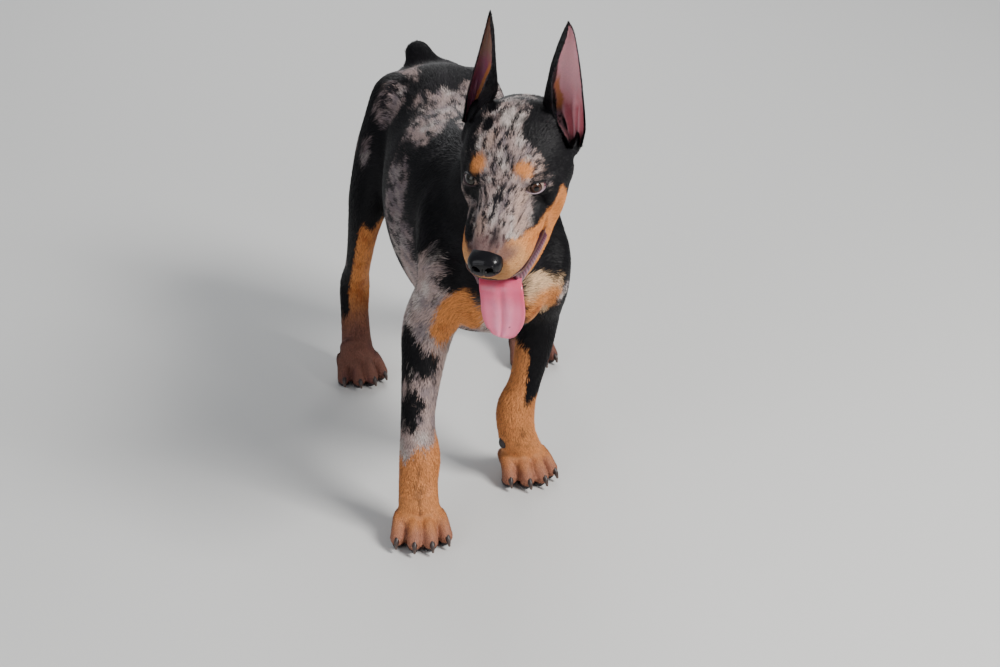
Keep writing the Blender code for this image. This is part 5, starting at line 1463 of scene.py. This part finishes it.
def tufted(name, roots, normals, way, bend, length, width, lift, colours, spot_on_unwrap):
    """A coat piece with a blade of two faces a tuft, which drops by half curvature times length squared."""
    count = len(roots)
    turn = chance.normal(0, 0.16, count)[:, None]
    way = unit(way + np.cross(normals, way) * turn)
    aside = unit(np.cross(way, normals) + normals * chance.normal(0, 0.22, count)[:, None])
    length = length * chance.uniform(0.75, 1.2, count)
    lift = lift * chance.uniform(0.6, 1.5, count)
    along = TUFT_CORNERS[:, 1][None]
    reach = length[:, None] * along
    rise = -ROOT_DEPTH * (1 - along) + lift[:, None] * along - 0.5 * bend[:, None] * reach**2
    across = TUFT_CORNERS[:, 0][None] * (width * chance.uniform(0.7, 1.3, count))[:, None]
    points = roots[:, None] + way[:, None] * reach[..., None]
    points = points + normals[:, None] * rise[..., None] + aside[:, None] * across[..., None]
    mesh = bpy.data.meshes.new(name)
    mesh.vertices.add(5 * count)
    mesh.vertices.foreach_set("co", (points + ORIGIN).ravel())
    first = 5 * np.arange(count)[:, None]
    corners = first + np.array([0, 1, 2, 3, 3, 2, 4])
    mesh.loops.add(7 * count)
    mesh.loops.foreach_set("vertex_index", corners.ravel())
    mesh.polygons.add(2 * count)
    mesh.polygons.foreach_set("loop_start", (7 * np.arange(count)[:, None] + np.array([0, 4])).ravel())
    mesh.polygons.foreach_set("use_smooth", np.ones(2 * count, bool))
    mesh.update(calc_edges=True)
    unwrap = mesh.uv_layers.new(name="OFBake")
    patch = spot_on_unwrap[:, None] * (1 - PATCH) + PATCH * (TUFT_CORNERS * [1, 1] + [0.5, 0])[None]
    unwrap.data.foreach_set("uv", patch[:, [0, 1, 2, 3, 3, 2, 4]].ravel())
    thing = placed(name, mesh)
    shade = chance.uniform(0.78, 1.24, count) * np.where(chance.random(count) < 0.07, 0.55, 1.0)
    # Each blade darkens towards its root: painted shade deep in the coat
    shade = shade[:, None, None] * (0.72 + 0.36 * along)[..., None]
    coloured(thing, (colours[:, None] * shade).reshape(-1, 3))
    return finished(thing, COAT_HAIR, "short_coat")


def cylinder_unwrap(points, middle, axis, reach, tile=(0.0, 0.0, 1.0, 1.0)):
    """Turn about a line and place along it, as two shares of a tile of the unwrap."""
    others = [k for k in range(3) if k != axis]
    off = points - np.asarray(middle)
    turn = np.arctan2(off[:, others[0]], off[:, others[1]]) / (2 * math.pi) + 0.5
    along = np.clip((points[:, axis] - reach[0]) / (reach[1] - reach[0]), 0, 1)
    return np.stack([tile[0] + turn * tile[2], tile[1] + along * tile[3]], 1)


# Trunk, neck, tail and legs
shoulders = (SHOULDER_BLADE, mirrored(SHOULDER_BLADE))
body_lines = lines_of(lengthwise(TRUNK), NECK, TAIL, *shoulders, *LEGS.values())
body_lines[:LINE_STEPS, 5] -= 0.22      # over the trunk the hair also lies a little downwards
body_way = lie_along(body_points, body_normals, body_lines, body_edges)
body_bend = bend_along(body_points, body_normals, body_way, body_edges)
x, y, z = body_points.T
long_hair = 0.0078 + 0.003 * (1 - eased(np.abs(x), 0.01, 0.04)) * (y < -0.12) + 0.0025 * eased(y, 0.2, 0.24)
long_hair = long_hair * (0.55 + 0.45 * eased(z, 0.06, 0.2))
density = 7.8e5 + 3.2e5 * (1 - eased(z, 0.1, 0.2))
density = density * (neck_height(body_points) < 0.003) * (z > PAW_TOP - 0.004)
fields = (body_normals, body_way, np.stack([body_bend, long_hair], 1))
roots, normals, way, rest = scattered(body_points, body_quads, fields, density)
bend, length = rest.T
colours = body_markings(jostled(roots, way, 0.0026, 0.0009))
x, y, z = roots.T
low = z < 0.235             # the legs and the lowest part of the chest
# The first of these rules that holds picks the piece, and the last piece takes what is left
rules = [
    low & (y < 0) & (x < 0), low & (y < 0), low & (y > 0.1), y < -0.115,
    (y < 0.06) & (x < 0), y < 0.06, x < 0,
]
regions = np.select(rules, list(range(len(rules))), len(rules))
BODY_COATS = (
    "coat_foreleg_right", "coat_foreleg_left", "coat_hindlegs", "coat_neck_and_chest",
    "coat_ribs_right", "coat_ribs_left", "coat_rump_right", "coat_rump_left",
)
LEG_REACH = (0.05, 0.24)
for number, name in enumerate(BODY_COATS):
    part = np.flatnonzero(regions == number)
    here = roots[part]
    mid_x, mid_y = np.median(here[:, 0]), np.median(here[:, 1])
    spots = cylinder_unwrap(here, (mid_x, 0, 0.3), 1, (-0.22, 0.28))
    if number < 2:
        spots = cylinder_unwrap(here, (mid_x, mid_y, 0), 2, LEG_REACH)
    elif number == 2:
        right_leg = cylinder_unwrap(here, (-0.09, 0.2, 0), 2, LEG_REACH, (0, 0, 0.5, 1))
        left_leg = cylinder_unwrap(here, (0.105, 0.21, 0), 2, LEG_REACH, (0.5, 0, 0.5, 1))
        spots = np.where(here[:, :1] > 0, left_leg, right_leg)
    looks = (bend[part], length[part], 0.00072, 0.001, colours[part], spots)
    tufted(name, here, normals[part], way[part], *looks)

# Head: smallest on the muzzle, longer over the skull and the cheeks
x, y, z = head_full.T
head_full_normals = normals_of(head_full, head_quads)
spread = np.clip(x / 0.04, -1, 1)
way = np.stack([0.3 * spread, np.ones(len(x)), -0.4 * eased(np.abs(x), 0.015, 0.045) + 0.1 * (y < 0)], 1)
down_neck = (np.array([-0.003, 0.03, -0.042]) / 0.0517) @ HEAD_AXES
above_neck = neck_height(to_body(head_full))
to_neck = 1 - eased(above_neck, 0.0, 0.05)
way = way * (1 - to_neck)[:, None] + down_neck * to_neck[:, None] * 1.2
head_way = laid_in_skin(way, head_full_normals, head_edges)
head_bend = bend_along(head_full, head_full_normals, head_way, head_edges)
short_hair = 0.0026 + 0.0022 * eased(y, -0.07, 0.0) + 0.002 * eased(y, 0.02, 0.09)
around_eyes = np.minimum(opening_share(head_full, 1), opening_share(head_full, -1))
short_hair = short_hair * (0.45 + 0.55 * eased(around_eyes, 1.3, 2.4))
density = 1.9e6 - 0.6e6 * eased(y, 0.0, 0.06)
on_nose = (y < -0.08) * (z > -0.0395) * (np.abs(x - NOSE_MIDDLE) < 0.0165)
in_cups = cup_depth > 0.0012
density = density * ~in_cups * (around_eyes > 1.18) * (1 - on_nose) * (above_neck > -0.003)
bare = np.zeros(len(x), bool)
bare[near_lips] = (np.abs(above + 0.0012) < 0.0012) & (gap < 0.004) & (lip_fade[nearest] > 0.5)
density = density * ~bare
fields = (head_full_normals, head_way, np.stack([head_bend, short_hair], 1))
roots, normals, way, rest = scattered(head_full, head_quads, fields, density)
bend, length = rest.T
colours = head_markings(jostled(roots, way, 0.0009, 0.00035))
# Name, and where along the head the piece starts and ends
HEAD_COATS = (
    ("coat_muzzle", -1.0, -0.012), ("coat_cheeks_and_brow", -0.012, 0.04), ("coat_skull", 0.04, 1.0),
)
for name, front, back in HEAD_COATS:
    part = np.flatnonzero((roots[:, 1] >= front) & (roots[:, 1] < back))
    here = roots[part]
    spots = cylinder_unwrap(here, (0, 0, -0.02), 1, (-0.1, 0.13))
    width = 0.00046 + 0.0002 * eased(here[:, 1], 0.0, 0.07)
    looks = (bend[part], length[part], width, 0.00055, colours[part], spots)
    tufted(name, to_body(here), normals[part] @ HEAD_AXES.T, way[part] @ HEAD_AXES.T, *looks)

# Feet
foot_normals = normals_of(paw_points, paw_quads)
foot_edges = quad_edges(paw_quads)
toe_lines = []
for paw in PAWS:
    for toe in range(4):
        rows = smooth_rows(foot_rows(TOE), 12)
        middle = on_foot(rows[:, :3], paw, toe)
        toe_lines.append(np.hstack([middle, unit(np.gradient(middle, axis=0)), rows[:, 3:4]]))
    toe_lines.append(lines_of(np.array(LEGS[PAWS[paw][3]][-4:])))
toe_lines = np.vstack(toe_lines)
foot_way = lie_along(paw_points, foot_normals, toe_lines, foot_edges)
foot_bend = bend_along(paw_points, foot_normals, foot_way, foot_edges)
density = 1.0e6 * (paw_points[:, 2] > 0.004) * (paw_points[:, 2] < PAW_TOP + 0.002)
fields = (foot_normals, foot_way, foot_bend[:, None])
roots, normals, way, rest = scattered(paw_points, paw_quads, fields, density)
colours = body_markings(roots + chance.normal(0, 0.0007, roots.shape))
spots = np.zeros((len(roots), 2))
for number, (paw, ((px, py), _, _, _)) in enumerate(PAWS.items()):
    here = (np.sign(roots[:, 0]) == np.sign(px)) & ((roots[:, 1] < 0.05) == (py < 0))
    spots[here] = cylinder_unwrap(roots[here], (px, py, 0), 2, (0, 0.06), (0.25 * number, 0, 0.25, 1))
length = 0.0036 + 0.0016 * eased(roots[:, 2], 0.02, 0.05)
tufted("coat_feet", roots, normals, way, rest[:, 0], length, 0.00055, 0.0006, colours, spots)

# Ears: the outside, and short hair over both rims
EAR_TUFTS = 15000
for sign, side in SIDES.items():
    height = 1 - np.sqrt(chance.random(EAR_TUFTS) * 0.84 + 0.0004)
    turn = chance.uniform(-1, 1, EAR_TUFTS)
    wrapped = chance.random(EAR_TUFTS) < 0.22
    turn = np.where(wrapped, np.sign(turn) * (1 - 0.08 * chance.random(EAR_TUFTS)), turn)
    face_side = np.where(wrapped & (chance.random(EAR_TUFTS) < 0.6), -1.0, 1.0)
    step = 0.01
    place = ear_wall(sign, height, turn, face_side)
    upward = unit(ear_wall(sign, height + step, turn, face_side) - place)
    one, other = (ear_wall(sign, height, np.clip(turn + way, -1, 1), face_side) for way in (step, -step))
    out = unit(np.cross(upward, one - other))
    leaf_out = ear_leaf(sign, height, turn)[1] * face_side[:, None]
    out *= np.sign(np.einsum("ij,ij->i", out, leaf_out))[:, None]
    colours = laid(BLACK, SOFT_BLACK, eased(ragged(place, 0.008), -0.1, 0.5))
    colours = laid(colours, GREY, 0.6 * eased(np.abs(turn), 0.97, 0.995) * eased(height, 0.3, 0.5))
    spots = np.stack([0.25 + 0.24 * turn + 0.5 * (face_side < 0), height], 1)
    looks = (0 * height, 0.004 + 0.0016 * (1 - height), 0.0005, 0.0004, colours, spots)
    tufted("coat_ear_" + side, to_body(place), out @ HEAD_AXES.T, upward @ HEAD_AXES.T, *looks)


# Studio
# A pale floor, three soft lamps and the camera where the photographer stood, looking down at the puppy.
CAMERA_PLACE = np.array([-0.485, -2.429, 1.311])
CAMERA_YAW, CAMERA_PITCH, CAMERA_ROLL = math.radians(12.11), math.radians(25.17), math.radians(0.95)
SENSOR_WIDTH, FOCAL_PIXELS, PHOTO_PIXELS = 36.0, 2482.6, 1000.0

floor_mesh = bpy.data.meshes.new("floor")
floor_mesh.from_pydata([(-8, -8, 0), (8, -8, 0), (8, 8, 0), (-8, 8, 0)], [], [(0, 1, 2, 3)])
floor = placed("floor", floor_mesh)
floor_finish = bpy.data.materials.new("Pale floor")
floor_finish.use_nodes = True
floor_inputs = floor_finish.node_tree.nodes["Principled BSDF"].inputs
floor_inputs["Base Color"].default_value = (0.62, 0.62, 0.61, 1)
floor_inputs["Roughness"].default_value = 0.9
floor_mesh.materials.append(floor_finish)


def lamp(name, place, aim, size, watts, warmth=(1, 1, 1)):
    """A square soft box at a place, facing its aim."""
    light = bpy.data.lights.new(name, "AREA")
    light.size, light.energy, light.color = size, watts, warmth
    thing = placed(name, light)
    away = Vector(place) - Vector(aim)
    thing.matrix_world = Matrix.Translation(place) @ away.to_track_quat("Z", "Y").to_matrix().to_4x4()


lamp("key lamp", (1.3, -1.5, 2.1), (0, 0, 0.3), 0.9, 112, (1.0, 0.98, 0.95))
lamp("fill lamp", (-1.9, -1.6, 1.3), (0, 0, 0.3), 1.6, 20, (0.95, 0.97, 1.0))
lamp("back lamp", (0.3, 2.2, 1.7), (0, 0, 0.3), 1.4, 30)
world = bpy.data.worlds.new("studio air")
world.use_nodes = True
air = world.node_tree.nodes["Background"].inputs
air["Color"].default_value, air["Strength"].default_value = (0.9, 0.94, 1.0, 1), 0.33
bpy.context.scene.world = world

flat = math.cos(CAMERA_PITCH)
heading = np.array([math.sin(CAMERA_YAW) * flat, math.cos(CAMERA_YAW) * flat, -math.sin(CAMERA_PITCH)])
level = np.cross(heading, [0, 0, 1]) / flat
upright = np.cross(level, heading)
level, upright = (
    math.cos(CAMERA_ROLL) * level + math.sin(CAMERA_ROLL) * upright,
    math.cos(CAMERA_ROLL) * upright - math.sin(CAMERA_ROLL) * level,
)
camera_data = bpy.data.cameras.new("camera")
camera_data.lens = SENSOR_WIDTH * FOCAL_PIXELS / PHOTO_PIXELS
camera_data.sensor_width = SENSOR_WIDTH
camera = placed("camera", camera_data)
axes = Matrix(np.stack([level, upright, -heading], 1).tolist()).to_4x4()
camera.matrix_world = Matrix.Translation(CAMERA_PLACE + ORIGIN) @ axes
bpy.context.scene.camera = camera
